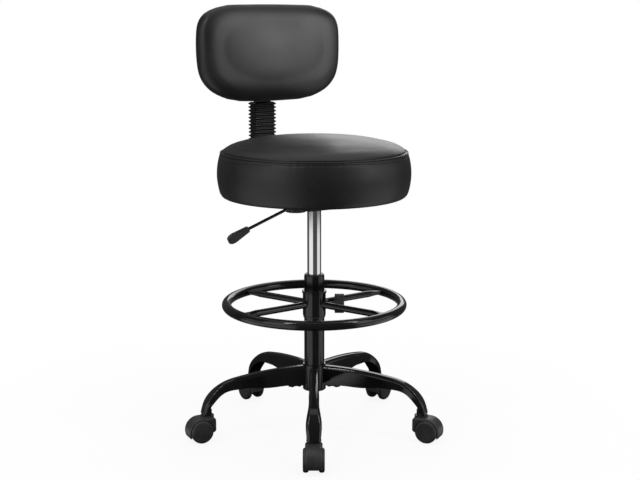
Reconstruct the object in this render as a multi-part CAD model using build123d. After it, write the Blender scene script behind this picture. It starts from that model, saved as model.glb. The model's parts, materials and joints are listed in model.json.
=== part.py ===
from build123d import *
import math
import os

# Drafting chair: five-leg caster base, gas column, foot ring, round padded seat and padded backrest.
# Millimetres. The origin is on the floor under the column, +Z is up, and a sitter faces -Y.

# Fits
RUN_GAP = 0.06
PRESS_GAP = 0.05
SLIDE_GAP = 0.2
SOFT_GAP = 0.4
TURN_GAP = 0.3

# Casters
WHEEL_D = 46.0
WHEEL_WIDTH = 11.2
WHEEL_EDGE_R = 4.2
AXLE_D = 6.0
AXLE_END_WALL = 2.2
HOOD_CORE_WIDTH = 17.4
WHEEL_SIDE_GAP = 0.6
HOOD_WIDTH = 33.0
HOOD_WELL_GAP = 1.2
HOOD_SHELL = 2.5
HOOD_BACK = 14.0
HOOD_EDGE_R = 4.0
HOOD_FRONT_ANGLE = -25.0
NECK_D = 27.0
NECK_HEIGHT = 2.8
CASTER_TRAIL = 16.0
CASTER_TURNS = (0.0, -8.0, 0.0, 0.0, 8.0)
STEM_D = 8.0
STEM_GRIP = 11.0
STEM_IN_HOOD = 16.0
STEM_FLANGE_D = 18.0
STEM_FLANGE_HEIGHT = 3.2

# Base
LEG_COUNT = 5
FIRST_LEG_ANGLE = -120.0
PIVOT_R = 224.5
LEG_TIP_OVERHANG = 11.5
LEG_TOP_Z = 136.5
LEG_ROOT_DEPTH = 38.5
LEG_ROOT_WIDTH = 19.5
LEG_TIP_WIDTH = 28.5
LEG_TIP_DEPTH = 13.5
LEG_WALL = 2.0
LEG_CORNER_R = 7.0
HUB_D = 47.0
HUB_FOOT_DROP = 13.0
HUB_TOP_RISE = 2.5
STAR_PLATE = 2.0
STAR_REACH = 56.0
STAR_ARM_WIDTH = 17.0
BOLT_RADII = (32.0, 47.0)
BOLT_D = 5.0
BOLT_HEAD_D = 8.5
BOLT_HEAD_HEIGHT = 3.5
ROOT_BLOCK_HEIGHT = 9.0
SOCKET_BLOCK_BACK = 7.0
SOCKET_BLOCK_FRONT = 4.9
SOCKET_CORNER_R = 3.5
SOCKET_SIDE_GAP = 0.6

# Points of a leg's top line between root and tip: share of the reach, share of the rise.
LEG_LINE = ((0.627, 0.876), (0.890, 0.582), (0.958, 0.333))
# Leg form between root and tip: share of the length, depth, width.
LEG_FORM = ((0.325, 35.6, 19.5), (0.534, 25.5, 19.5), (0.687, 18.4, 20.5), (0.795, 15.2, 27.0), (0.892, 12.4, 30.0))
LEG_SPANS = 10

# Gas column
COLUMN_D = 41.0
COLUMN_WALL = 2.0
COLUMN_FLOOR = 3.0
COLUMN_ABOVE_HUB = 183.0
BUSH_LENGTH = 76.0
BUSH_LIP_HEIGHT = 3.0
BUSH_LIP_D = 39.6
CYLINDER_D = 28.0
CYLINDER_WALL = 2.4
CYLINDER_CAP = 8.0
ROD_D = 10.0
ROD_END = 4.5
PISTON_LENGTH = 8.0
PISTON_REACH = 12.0
GLAND_LENGTH = 12.0
BEARING_D = 26.0
BEARING_HEIGHT = 4.0
BUMPER_D = 24.0
BUMPER_HEIGHT = 6.0
CLIP_D = 18.0
CLIP_HEIGHT = 1.6
SEAT_TRAVEL = 110.0
TRAVEL_RESERVE = 2.0

# Seat and its plate
SEAT_BASE_Z = 494.0
SEAT_PLATE = 2.5
SEAT_PLATE_SIZE = 160.0
SEAT_PLATE_CORNER_R = 14.0
HOUSING_DEPTH = 34.5
HOUSING_LENGTH = 60.0
HOUSING_WIDTH = 56.0
HOUSING_WALL = 2.5
SOCKET_DEPTH = 17.0
SOCKET_WALL = 4.0
SEAT_SCREW_OFFSET = 62.0
SCREW_D = 5.0
SCREW_HEAD_D = 10.0
SCREW_HEAD_HEIGHT = 3.0
SCREW_IN_BOARD = 9.0
BOARD_D = 332.0
BOARD_THICKNESS = 12.0
SEAT_D = 384.6
SEAT_SEAM_D = 370.6
SEAT_FOOT_D = 374.0
SEAT_LIP_R = 10.0
SEAT_LIP_DROP = 11.0
SEAT_BULGE_RISE = 34.0
SEAT_SEAM_RISE = 76.0
SEAT_CROWN = 30.0
SEAT_SHOULDER_D = 300.0
SEAT_SHOULDER_DROP = 11.5
SEAT_SHOULDER_BULGE = 3.3

# Height lever
BUTTON_D = 6.0
BUTTON_PROUD = 3.5
BUTTON_LIFT_GAP = 0.6
LEVER_PIVOT_X = -16.0
LEVER_PIN_D = 5.0
LEVER_PIN_HEAD_D = 8.0
LEVER_PIN_HEAD = 1.6
LEVER_EYE_D = 11.0
LEVER_EYE_WIDTH = 14.0
LEVER_D = 6.0
TONGUE_PAST_AXIS = 5.0
TONGUE_WIDTH = 10.0
TONGUE_THICKNESS = 3.6
LEVER_INNER_RUN = 45.0
LEVER_INNER_TILT = 22.8
LEVER_OUTER_RUN = 95.5
LEVER_OUTER_TILT = 20.4
LEVER_BEND_R = 30.0
HANDLE_LENGTH = 46.5
HANDLE_TILT = 25.5
HANDLE_GRIP = 26.0
HANDLE_ROOT_WIDTH = 12.0
HANDLE_ROOT_THICKNESS = 10.0
HANDLE_END_WIDTH = 19.5
HANDLE_END_THICKNESS = 11.0
HANDLE_CORNER_R = 3.5
LEVER_SLOT_WIDTH = 12.0
LEVER_SLOT_BELOW = 13.0
LEVER_SLOT_ABOVE = 8.0

# Backrest bar and its guide
BAR_WIDTH = 38.0
BAR_THICKNESS = 5.0
BAR_FRONT_Y = 36.0
BAR_SEAT_GAP = 13.35
BAR_BEND_R = 35.0
BAR_TOP_Z = 808.0
GUIDE_WALL = 2.5
GUIDE_DROP = 14.8
GUIDE_START_Y = 36.0
GUIDE_LENGTH = 72.0
DEPTH_KNOB_Y = 76.0
DEPTH_KNOB_D = 42.0
DEPTH_KNOB_HEIGHT = 22.0
DEPTH_STUD_SHOWS = 4.4
KNOB_STUD_D = 8.0
KNOB_FLUTES = 12
KNOB_FLUTE_D = 6.0
KNOB_EDGE_R = 1.5

# Bellows over the bar
BELLOWS_FOOT_Z = 512.0
BELLOWS_RIBS = 19
BELLOWS_PITCH = 7.5
BELLOWS_WIDTH = 52.0
BELLOWS_THICKNESS = 31.5
BELLOWS_RIB_DEPTH = 2.6
BELLOWS_CORNER_R = 4.8
BELLOWS_WALL = 1.6
BELLOWS_COLLAR = 2.4
BELLOWS_GRIP_GAP = 0.3

# Backrest
BACK_WIDE_Z = 772.5
BACK_HALF_WIDTH = 165.0
BACK_RISE = 85.5
BACK_FALL = 115.5
BACK_TOP_FULLNESS = 4.0
BACK_FOOT_FULLNESS = 3.2
BACK_ARCS = 12
BACK_BOARD = 10.0
BACK_BOARD_INSET = 23.0
BACK_THICKNESS = 51.5
# Cushion stations from the rear plane to the front face: share of the thickness, inset of the outline.
BACK_STATIONS = (
    (0.0, 18.0),
    (0.16, 9.0),
    (0.38, 3.0),
    (0.60, 0.0),
    (0.80, 3.0),
    (0.93, 9.5),
    (0.985, 18.0),
    (1.0, 28.0),
)
BRACKET_FOOT_Z = 690.0
BRACKET_HEIGHT = 106.0
BRACKET_WALL = 2.2
BRACKET_FLANGE = 18.0
HEIGHT_KNOB_Z = 748.0
HEIGHT_KNOB_D = 38.0
HEIGHT_KNOB_LENGTH = 20.0
HEIGHT_STUD_SHOWS = 5.0
BACK_SCREW_MARGIN = 14.0
BACK_SCREW_IN_BOARD = 7.0

# Foot ring
RING_R = 176.5
RING_TUBE_D = 19.0
RING_Z = 263.5
SPOKE_D = 13.5
SPOKE_ANGLE = 36.0
SPOKE_PINCH = 22.0
SPOKE_PINCH_WIDTH = 18.0
SPOKE_PINCH_THICKNESS = 8.0
RING_HUB_D = 46.5
RING_HUB_LENGTH = 51.0
RING_HUB_RIM_D = 49.5
RING_HUB_RIM = 5.0
RING_HUB_BELOW = 23.5
RING_BUSH_WALL = 1.2
RING_BUSH_LIP = 3.5
RING_BUSH_LIP_D = 44.6
RING_BUSH_SLOT = 3.0
CLAMP_ANGLE = -30.0
CLAMP_BOSS_D = 14.0
CLAMP_BOSS_LENGTH = 5.0
CLAMP_PAD_LENGTH = 2.6
CLAMP_KNOB_R = 41.0
CLAMP_KNOB_D = 39.0
CLAMP_KNOB_LENGTH = 19.0

# Places that follow from the sizes above
BAR_UPRIGHT_Y = SEAT_D / 2 + BAR_SEAT_GAP + BELLOWS_THICKNESS / 2
AXLE_Z = WHEEL_D / 2
HOOD_R = WHEEL_D / 2 + HOOD_WELL_GAP + HOOD_SHELL
HOOD_TOP_Z = AXLE_Z + HOOD_R
NECK_TOP_Z = HOOD_TOP_Z + NECK_HEIGHT
STEM_FLANGE_Z = NECK_TOP_Z + TURN_GAP
LEG_TIP_Z = STEM_FLANGE_Z + STEM_FLANGE_HEIGHT
LEG_ROOT_FOOT_Z = LEG_TOP_Z - LEG_ROOT_DEPTH
HUB_FOOT_Z = LEG_ROOT_FOOT_Z - HUB_FOOT_DROP
HUB_TOP_Z = LEG_TOP_Z + HUB_TOP_RISE
STAR_TOP_Z = LEG_ROOT_FOOT_Z - TURN_GAP
COLUMN_FOOT_Z = HUB_FOOT_Z + COLUMN_FLOOR
COLUMN_TOP_Z = HUB_TOP_Z + COLUMN_ABOVE_HUB
BEARING_Z = COLUMN_FOOT_Z + COLUMN_FLOOR
BUMPER_Z = BEARING_Z + BEARING_HEIGHT
CYLINDER_FOOT_Z = BUMPER_Z + BUMPER_HEIGHT + TRAVEL_RESERVE + SEAT_TRAVEL
HOUSING_TOP_Z = SEAT_BASE_Z - SEAT_PLATE
HOUSING_FOOT_Z = HOUSING_TOP_Z - HOUSING_DEPTH
CYLINDER_TOP_Z = HOUSING_FOOT_Z + SOCKET_DEPTH
BUTTON_TOP_Z = CYLINDER_TOP_Z + BUTTON_PROUD
LEVER_PIVOT_Z = BUTTON_TOP_Z + BUTTON_LIFT_GAP + TONGUE_THICKNESS / 2
GUIDE_TOP_Z = HOUSING_TOP_Z - GUIDE_DROP
BAR_Z = GUIDE_TOP_Z - GUIDE_WALL - SLIDE_GAP - BAR_THICKNESS / 2
GUIDE_FOOT_Z = BAR_Z - BAR_THICKNESS / 2 - SLIDE_GAP - GUIDE_WALL
BACK_REAR_Y = BAR_UPRIGHT_Y - BAR_THICKNESS / 2 - SLIDE_GAP - BRACKET_WALL
RING_HUB_FOOT_Z = RING_Z - RING_HUB_BELOW
RING_HUB_TOP_Z = RING_HUB_FOOT_Z + RING_HUB_LENGTH

ON_FLOOR = (Align.CENTER, Align.CENTER, Align.MIN)


def rod(diameter, low, high):
    """Round bar on the Z axis between two heights."""
    return Pos(0, 0, low) * Cylinder(diameter / 2, high - low, align=ON_FLOOR)


def tube(outer, bore, low, high):
    """Round tube on the Z axis between two heights."""
    return rod(outer, low, high) - rod(bore, low, high)


def block(low, high):
    """Box between two corners."""
    size = [b - a for a, b in zip(low, high)]
    return Pos(*low) * Box(*size, align=(Align.MIN, Align.MIN, Align.MIN))


def turned(angle, shape):
    """Shape turned about the column axis."""
    return Rot(0, 0, angle) * shape


def group(shapes):
    """Separate solids kept together as one piece."""
    return Compound(children=[solid for shape in shapes for solid in shape.solids()])


def fluted_knob(diameter, height, stud_length):
    """Hand knob from Z = 0 down, with finger flutes round it and its stud above."""
    grip = fillet(Cylinder(diameter / 2, height).edges().filter_by(GeomType.CIRCLE), KNOB_EDGE_R)
    for i in range(KNOB_FLUTES):
        flute = Pos(diameter / 2 + KNOB_FLUTE_D / 4, 0, 0) * Cylinder(KNOB_FLUTE_D / 2, height * 2)
        grip -= turned(i * 360 / KNOB_FLUTES, flute)
    return Pos(0, 0, -height / 2) * grip + rod(KNOB_STUD_D, -height / 2, stud_length)


def leg_angles():
    """Directions of the base legs."""
    return [FIRST_LEG_ANGLE + i * 360 / LEG_COUNT for i in range(LEG_COUNT)]


def leg_line():
    """Top line of a leg along +X, level at the hub and plumb at the tip."""
    reach = PIVOT_R + LEG_TIP_OVERHANG
    rise = LEG_TOP_Z - LEG_TIP_Z
    points = [(HUB_D / 4, 0, LEG_TOP_Z)]
    points += [(reach * out, 0, LEG_TIP_Z + rise * up) for out, up in LEG_LINE]
    points.append((reach, 0, LEG_TIP_Z))
    return Spline(points, tangents=[(1, 0, 0), (0, 0, -1)])


def leg_form(share):
    """Depth and width of a leg at a share of its length, eased between the stations."""
    stations = ((0.0, LEG_ROOT_DEPTH, LEG_ROOT_WIDTH), *LEG_FORM, (1.0, LEG_TIP_DEPTH, LEG_TIP_WIDTH))
    for (start, *low), (end, *high) in zip(stations, stations[1:]):
        if share <= end:
            part = (share - start) / (end - start)
            eased = part * part * (3 - 2 * part)
            return [a + (b - a) * eased for a, b in zip(low, high)]


def leg_section(depth, width, wall):
    """Section of a leg with rounded shoulders, square on its inner side and drawn in by a wall."""
    half = width / 2 - wall
    foot = depth + wall
    shoulders = FilletPolyline((-half, foot), (-half, wall), (half, wall), (half, foot), radius=LEG_CORNER_R - wall)
    return make_face(shoulders.edges() + Line((half, foot), (-half, foot)).edges())


def leg_body(wall):
    """Solid form of a leg, drawn in by a wall and run past its open side by as much."""
    line = leg_line()
    sections = []
    for i in range(LEG_SPANS + 1):
        share = i / LEG_SPANS
        plane = Plane(line.position_at(share), x_dir=(0, 1, 0), z_dir=-line.tangent_at(share))
        sections.append(plane * leg_section(*leg_form(share), wall))
    return loft(sections)


def base_leg():
    """One pressed leg along +X, a channel open below, with the block that its plate bolts screw into."""
    leg = leg_body(0) - leg_body(LEG_WALL)
    half = (LEG_ROOT_WIDTH - LEG_WALL) / 2
    root_end = BOLT_RADII[-1] + BOLT_HEAD_D / 2
    leg += block((0, -half, LEG_ROOT_FOOT_Z), (root_end, half, LEG_ROOT_FOOT_Z + ROOT_BLOCK_HEIGHT))
    for radius in BOLT_RADII:
        leg -= Pos(radius, 0, 0) * rod(BOLT_D + 2 * PRESS_GAP, 0, LEG_TOP_Z - LEG_ROOT_DEPTH / 2)
    return leg - rod(HUB_D + 2 * PRESS_GAP, 0, LEG_TOP_Z * 2)


def plate_bolt(radius):
    """Bolt up through the star plate into a leg."""
    star_foot = STAR_TOP_Z - STAR_PLATE
    head = rod(BOLT_HEAD_D, star_foot - BOLT_HEAD_HEIGHT, star_foot)
    head = fillet(head.edges().group_by(Axis.Z)[0], BOLT_HEAD_HEIGHT / 2)
    return Pos(radius, 0, 0) * (head + rod(BOLT_D, star_foot, LEG_ROOT_FOOT_Z + ROOT_BLOCK_HEIGHT))


def base_pieces():
    """Hub with its star plate, legs, plate bolts, socket blocks and caster stems."""
    hub = rod(HUB_D, HUB_FOOT_Z, HUB_TOP_Z)
    hub = chamfer(hub.edges().filter_by(GeomType.CIRCLE), COLUMN_WALL / 2)
    star_foot = STAR_TOP_Z - STAR_PLATE
    for angle in leg_angles():
        arm = block((0, -STAR_ARM_WIDTH / 2, star_foot), (STAR_REACH, STAR_ARM_WIDTH / 2, STAR_TOP_Z))
        for radius in BOLT_RADII:
            arm -= Pos(radius, 0, 0) * rod(BOLT_D + 2 * PRESS_GAP, star_foot, STAR_TOP_Z)
        hub += turned(angle, arm)
    hub -= rod(COLUMN_D + 2 * PRESS_GAP, 0, HUB_TOP_Z * 2)

    side = LEG_TIP_WIDTH / 2 - LEG_WALL - SOCKET_SIDE_GAP
    socket = block(
        (PIVOT_R - SOCKET_BLOCK_BACK, -side, LEG_TIP_Z), (PIVOT_R + SOCKET_BLOCK_FRONT, side, LEG_TIP_Z + STEM_GRIP)
    )
    socket = fillet(socket.edges().filter_by(Axis.Z).group_by(Axis.X)[-1], SOCKET_CORNER_R)
    socket -= Pos(PIVOT_R, 0, 0) * rod(STEM_D + 2 * PRESS_GAP, 0, LEG_TOP_Z)
    stem = rod(STEM_D, HOOD_TOP_Z - STEM_IN_HOOD, LEG_TIP_Z + STEM_GRIP)
    stem += rod(STEM_FLANGE_D, STEM_FLANGE_Z, LEG_TIP_Z)

    pieces = {"base_hub": hub}
    leg = base_leg()
    for number, angle in enumerate(leg_angles(), 1):
        pieces[f"base_leg_{number}"] = turned(angle, leg)
    bolts = [turned(angle, plate_bolt(radius)) for angle in leg_angles() for radius in BOLT_RADII]
    pieces["plate_bolts"] = group(bolts)
    pieces["leg_sockets"] = group([turned(angle, socket) for angle in leg_angles()])
    pieces["caster_stems"] = group([turned(angle, Pos(PIVOT_R, 0, 0) * stem) for angle in leg_angles()])
    return pieces


def across(diameter, low, high):
    """Round bar along Y on the wheel axis of a caster."""
    bar = Cylinder(diameter / 2, high - low, align=ON_FLOOR)
    return Pos(CASTER_TRAIL, low, AXLE_Z) * (Rot(-90, 0, 0) * bar)


def caster_hood():
    """Moulded hood: fender over both wheels, core between them and neck round the stem."""
    end = math.radians(HOOD_FRONT_ANGLE)
    crest = (CASTER_TRAIL, HOOD_TOP_Z)
    front = (CASTER_TRAIL + HOOD_R * math.cos(end), AXLE_Z + HOOD_R * math.sin(end))
    middle_angle = (math.pi / 2 + end) / 2
    middle = (CASTER_TRAIL + HOOD_R * math.cos(middle_angle), AXLE_Z + HOOD_R * math.sin(middle_angle))
    core_foot = (CASTER_TRAIL - WHEEL_D / 4, front[1])
    outline = [
        Line((-HOOD_BACK, AXLE_Z), (-HOOD_BACK, HOOD_TOP_Z)),
        Line((-HOOD_BACK, HOOD_TOP_Z), crest),
        ThreePointArc(crest, middle, front),
        Line(front, core_foot),
        Line(core_foot, (-HOOD_BACK, AXLE_Z)),
    ]
    profile = Plane.XZ * make_face([edge for line in outline for edge in line.edges()])
    hood = extrude(profile, HOOD_WIDTH / 2, both=True)
    hood = fillet(hood.edges().filter_by(Axis.Y).group_by(Axis.X)[0].sort_by(Axis.Z)[-1:], HOOD_EDGE_R * 2)
    rims = hood.edges().filter_by(lambda e: abs(abs(e.center().Y) - HOOD_WIDTH / 2) < PRESS_GAP)
    hood = fillet(rims.filter_by(lambda e: e.center().Z > AXLE_Z), HOOD_EDGE_R)
    hood += rod(NECK_D, HOOD_TOP_Z - NECK_HEIGHT, NECK_TOP_Z)
    well_d = WHEEL_D + 2 * HOOD_WELL_GAP
    hood -= across(well_d, HOOD_CORE_WIDTH / 2, HOOD_WIDTH)
    hood -= across(well_d, -HOOD_WIDTH, -HOOD_CORE_WIDTH / 2)
    hood -= across(AXLE_D + 2 * PRESS_GAP, -HOOD_WIDTH, HOOD_WIDTH)
    return hood - rod(STEM_D + 2 * RUN_GAP, HOOD_TOP_Z - STEM_IN_HOOD - TURN_GAP, NECK_TOP_Z)


def caster_wheel():
    """Right-hand wheel, a closed disc with a blind axle bore."""
    inner = HOOD_CORE_WIDTH / 2 + WHEEL_SIDE_GAP
    wheel = across(WHEEL_D, inner, inner + WHEEL_WIDTH)
    wheel = fillet(wheel.edges().filter_by(GeomType.CIRCLE), WHEEL_EDGE_R)
    return wheel - across(AXLE_D + 2 * RUN_GAP, 0, inner + WHEEL_WIDTH - AXLE_END_WALL)


def caster_pieces():
    """Hood, axle and two wheels at each leg tip, trailing outward or a little turned."""
    hood = caster_hood()
    axle_end = HOOD_CORE_WIDTH / 2 + WHEEL_SIDE_GAP + WHEEL_WIDTH - AXLE_END_WALL - TURN_GAP
    axle = across(AXLE_D, -axle_end, axle_end)
    wheel = caster_wheel()
    pieces = {}
    for number, (angle, turn) in enumerate(zip(leg_angles(), CASTER_TURNS), 1):
        place = Rot(0, 0, angle) * Pos(PIVOT_R, 0, 0) * Rot(0, 0, turn)
        pieces[f"caster_hood_{number}"] = place * hood
        pieces[f"caster_axle_{number}"] = place * axle
        pieces[f"wheel_left_{number}"] = place * wheel
        pieces[f"wheel_right_{number}"] = place * mirror(wheel, about=Plane.XZ)
    return pieces


def column_pieces():
    """Fixed tube and bush, the turning rod with its bearing, and the sliding cylinder with its valve."""
    bore = COLUMN_D - 2 * COLUMN_WALL
    shell = rod(COLUMN_D, COLUMN_FOOT_Z, COLUMN_TOP_Z) - rod(bore, BEARING_Z, COLUMN_TOP_Z)
    shell -= rod(ROD_D + 2 * RUN_GAP, 0, COLUMN_TOP_Z)
    bush = rod(bore - 2 * PRESS_GAP, COLUMN_TOP_Z - BUSH_LENGTH, COLUMN_TOP_Z)
    lip = rod(BUSH_LIP_D, COLUMN_TOP_Z, COLUMN_TOP_Z + BUSH_LIP_HEIGHT)
    lip = chamfer(lip.edges().group_by(Axis.Z)[-1], BUSH_LIP_HEIGHT / 2)
    bush = bush + lip - rod(CYLINDER_D + 2 * RUN_GAP, 0, COLUMN_TOP_Z * 2)

    cylinder_bore = CYLINDER_D - 2 * CYLINDER_WALL
    piston_z = CYLINDER_FOOT_Z + GLAND_LENGTH + PISTON_REACH
    piston_rod = rod(ROD_D, COLUMN_FOOT_Z - ROD_END, piston_z + PISTON_LENGTH)
    piston_rod += rod(cylinder_bore - 2 * RUN_GAP, piston_z, piston_z + PISTON_LENGTH)
    ring_bore = ROD_D + 2 * PRESS_GAP
    clip_top = COLUMN_FOOT_Z - TURN_GAP
    bearing_low = BEARING_Z + TURN_GAP

    cylinder = rod(CYLINDER_D, CYLINDER_FOOT_Z, CYLINDER_TOP_Z)
    cylinder = fillet(cylinder.edges().group_by(Axis.Z)[-1], 1)
    cylinder -= rod(cylinder_bore, CYLINDER_FOOT_Z, CYLINDER_TOP_Z - CYLINDER_CAP)
    cylinder -= rod(BUTTON_D + 2 * RUN_GAP, CYLINDER_FOOT_Z, CYLINDER_TOP_Z)
    gland = tube(
        cylinder_bore - 2 * PRESS_GAP, ROD_D + 2 * RUN_GAP, CYLINDER_FOOT_Z, CYLINDER_FOOT_Z + GLAND_LENGTH
    )
    button = rod(BUTTON_D, CYLINDER_TOP_Z - CYLINDER_CAP, BUTTON_TOP_Z)
    return {
        "column_tube": shell,
        "column_bush": bush,
        "piston_rod": piston_rod,
        "thrust_bearing": tube(BEARING_D, ring_bore, bearing_low, BUMPER_Z),
        "rubber_bumper": tube(BUMPER_D, ring_bore, BUMPER_Z, BUMPER_Z + BUMPER_HEIGHT),
        "retaining_clip": tube(CLIP_D, ring_bore, clip_top - CLIP_HEIGHT, clip_top),
        "chrome_cylinder": cylinder,
        "cylinder_gland": gland,
        "valve_button": button,
    }


def seat_plate():
    """Pressed plate with the lever housing and cylinder socket under it."""
    plate = RectangleRounded(SEAT_PLATE_SIZE, SEAT_PLATE_SIZE, SEAT_PLATE_CORNER_R)
    part = Pos(0, 0, HOUSING_TOP_Z) * extrude(plate, SEAT_PLATE)
    long = HOUSING_LENGTH / 2
    wide = HOUSING_WIDTH / 2
    part += block((-long, -wide, HOUSING_FOOT_Z), (long, wide, HOUSING_TOP_Z))
    part -= block(
        (HOUSING_WALL - long, HOUSING_WALL - wide, HOUSING_FOOT_Z + HOUSING_WALL),
        (long - HOUSING_WALL, wide - HOUSING_WALL, HOUSING_TOP_Z),
    )
    socket_d = CYLINDER_D + 2 * SOCKET_WALL
    part += rod(socket_d, HOUSING_FOOT_Z, CYLINDER_TOP_Z - LEVER_D)
    part -= rod(CYLINDER_D + 2 * PRESS_GAP, 0, CYLINDER_TOP_Z)
    slot = LEVER_SLOT_WIDTH / 2
    part -= block(
        (-long * 2, -slot, LEVER_PIVOT_Z - LEVER_SLOT_BELOW), (HOUSING_WALL - long, slot, LEVER_PIVOT_Z + LEVER_SLOT_ABOVE)
    )
    pin_hole = Rot(90, 0, 0) * Cylinder(LEVER_PIN_D / 2 + PRESS_GAP, HOUSING_WIDTH * 2)
    part -= Pos(LEVER_PIVOT_X, 0, LEVER_PIVOT_Z) * pin_hole
    for place in seat_screw_places():
        part -= place * rod(SCREW_D + 2 * PRESS_GAP, 0, SEAT_BASE_Z)
    return part


def seat_screw_places():
    """Places of the four screws that hold the plate to the board."""
    return [Pos(x, y, 0) for x in (-SEAT_SCREW_OFFSET, SEAT_SCREW_OFFSET) for y in (-SEAT_SCREW_OFFSET, SEAT_SCREW_OFFSET)]


def seat_cushion():
    """Round padded seat: crowned top, boxing drawn in at the seam and at the lip that wraps the board edge."""
    board_top = SEAT_BASE_Z + BOARD_THICKNESS + SOFT_GAP
    lip_z = SEAT_BASE_Z - SEAT_LIP_DROP
    seam_z = SEAT_BASE_Z + SEAT_SEAM_RISE
    bulge_z = SEAT_BASE_Z + SEAT_BULGE_RISE
    inner_r = BOARD_D / 2 + SOFT_GAP
    foot_r = SEAT_FOOT_D / 2
    foot_z = lip_z + SEAT_LIP_R
    lip_r = foot_r - SEAT_LIP_R
    wide_r = SEAT_D / 2
    seam_r = SEAT_SEAM_D / 2
    turn = SEAT_LIP_R * math.sqrt(0.5)
    roll = ThreePointArc((lip_r, lip_z), (lip_r + turn, foot_z - turn), (foot_r, foot_z))
    side = ThreePointArc((foot_r, foot_z), (wide_r, bulge_z), (seam_r, seam_z))
    crest_z = seam_z + SEAT_CROWN
    shoulder_r = SEAT_SHOULDER_D / 2
    shoulder_z = crest_z - SEAT_SHOULDER_DROP
    chord = Vector(shoulder_r - seam_r, shoulder_z - seam_z)
    outward = Vector(chord.Y, -chord.X).normalized() * SEAT_SHOULDER_BULGE
    middle = Vector(seam_r, seam_z) + chord / 2 + outward
    shoulder = ThreePointArc((seam_r, seam_z), middle, (shoulder_r, shoulder_z))
    crown_r = (shoulder_r**2 + SEAT_SHOULDER_DROP**2) / (2 * SEAT_SHOULDER_DROP)
    halfway_drop = crown_r - math.sqrt(crown_r**2 - (shoulder_r / 2) ** 2)
    crown = ThreePointArc((shoulder_r, shoulder_z), (shoulder_r / 2, crest_z - halfway_drop), (0, crest_z))
    rest = Polyline((0, crest_z), (0, board_top), (inner_r, board_top), (inner_r, lip_z), (lip_r, lip_z))
    profile = make_face(roll.edges() + side.edges() + shoulder.edges() + crown.edges() + rest.edges())
    return revolve(Plane.XZ * profile, Axis.Z)


def seat_pieces():
    """Plate, board, cushion, screws, lever pin and bar guide."""
    board = rod(BOARD_D, SEAT_BASE_Z, SEAT_BASE_Z + BOARD_THICKNESS)
    screw_top = SEAT_BASE_Z + SCREW_IN_BOARD
    head_foot = HOUSING_TOP_Z - SCREW_HEAD_HEIGHT
    head = fillet(rod(SCREW_HEAD_D, head_foot, HOUSING_TOP_Z).edges().group_by(Axis.Z)[0], SCREW_HEAD_HEIGHT / 2)
    screw = head + rod(SCREW_D, HOUSING_TOP_Z, screw_top)
    for place in seat_screw_places():
        board -= place * rod(SCREW_D + 2 * PRESS_GAP, SEAT_BASE_Z, screw_top)

    pin = Cylinder(LEVER_PIN_D / 2, HOUSING_WIDTH)
    for side in (-1, 1):
        pin += Pos(0, 0, side * (HOUSING_WIDTH + LEVER_PIN_HEAD) / 2) * Cylinder(LEVER_PIN_HEAD_D / 2, LEVER_PIN_HEAD)

    half = BAR_WIDTH / 2 + SLIDE_GAP
    outer = half + GUIDE_WALL
    end_y = GUIDE_START_Y + GUIDE_LENGTH
    guide = block((-outer, GUIDE_START_Y, GUIDE_FOOT_Z), (outer, end_y, HOUSING_TOP_Z))
    guide -= block((-half, 0, GUIDE_FOOT_Z + GUIDE_WALL), (half, end_y * 2, GUIDE_TOP_Z - GUIDE_WALL))
    guide -= block((-half, 0, GUIDE_TOP_Z), (half, end_y * 2, HOUSING_TOP_Z))
    guide -= Pos(0, DEPTH_KNOB_Y, 0) * rod(KNOB_STUD_D + 2 * RUN_GAP, 0, BAR_Z)
    return {
        "seat_plate": seat_plate(),
        "seat_board": board,
        "seat_cushion": seat_cushion(),
        "seat_screws": group([place * screw for place in seat_screw_places()]),
        "lever_pin": Pos(LEVER_PIVOT_X, 0, LEVER_PIVOT_Z) * (Rot(90, 0, 0) * pin),
        "bar_guide": guide,
    }


def lever_path():
    """Corner points of the lever rod from its pivot to inside the handle, then the handle's own end."""
    points = [(LEVER_PIVOT_X, LEVER_PIVOT_Z)]
    runs = ((LEVER_INNER_RUN, LEVER_INNER_TILT), (LEVER_OUTER_RUN, LEVER_OUTER_TILT), (HANDLE_GRIP, HANDLE_TILT))
    for run, tilt in runs:
        x, z = points[-1]
        tilt = math.radians(tilt)
        points.append((x - run * math.cos(tilt), z - run * math.sin(tilt)))
    return points


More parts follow.
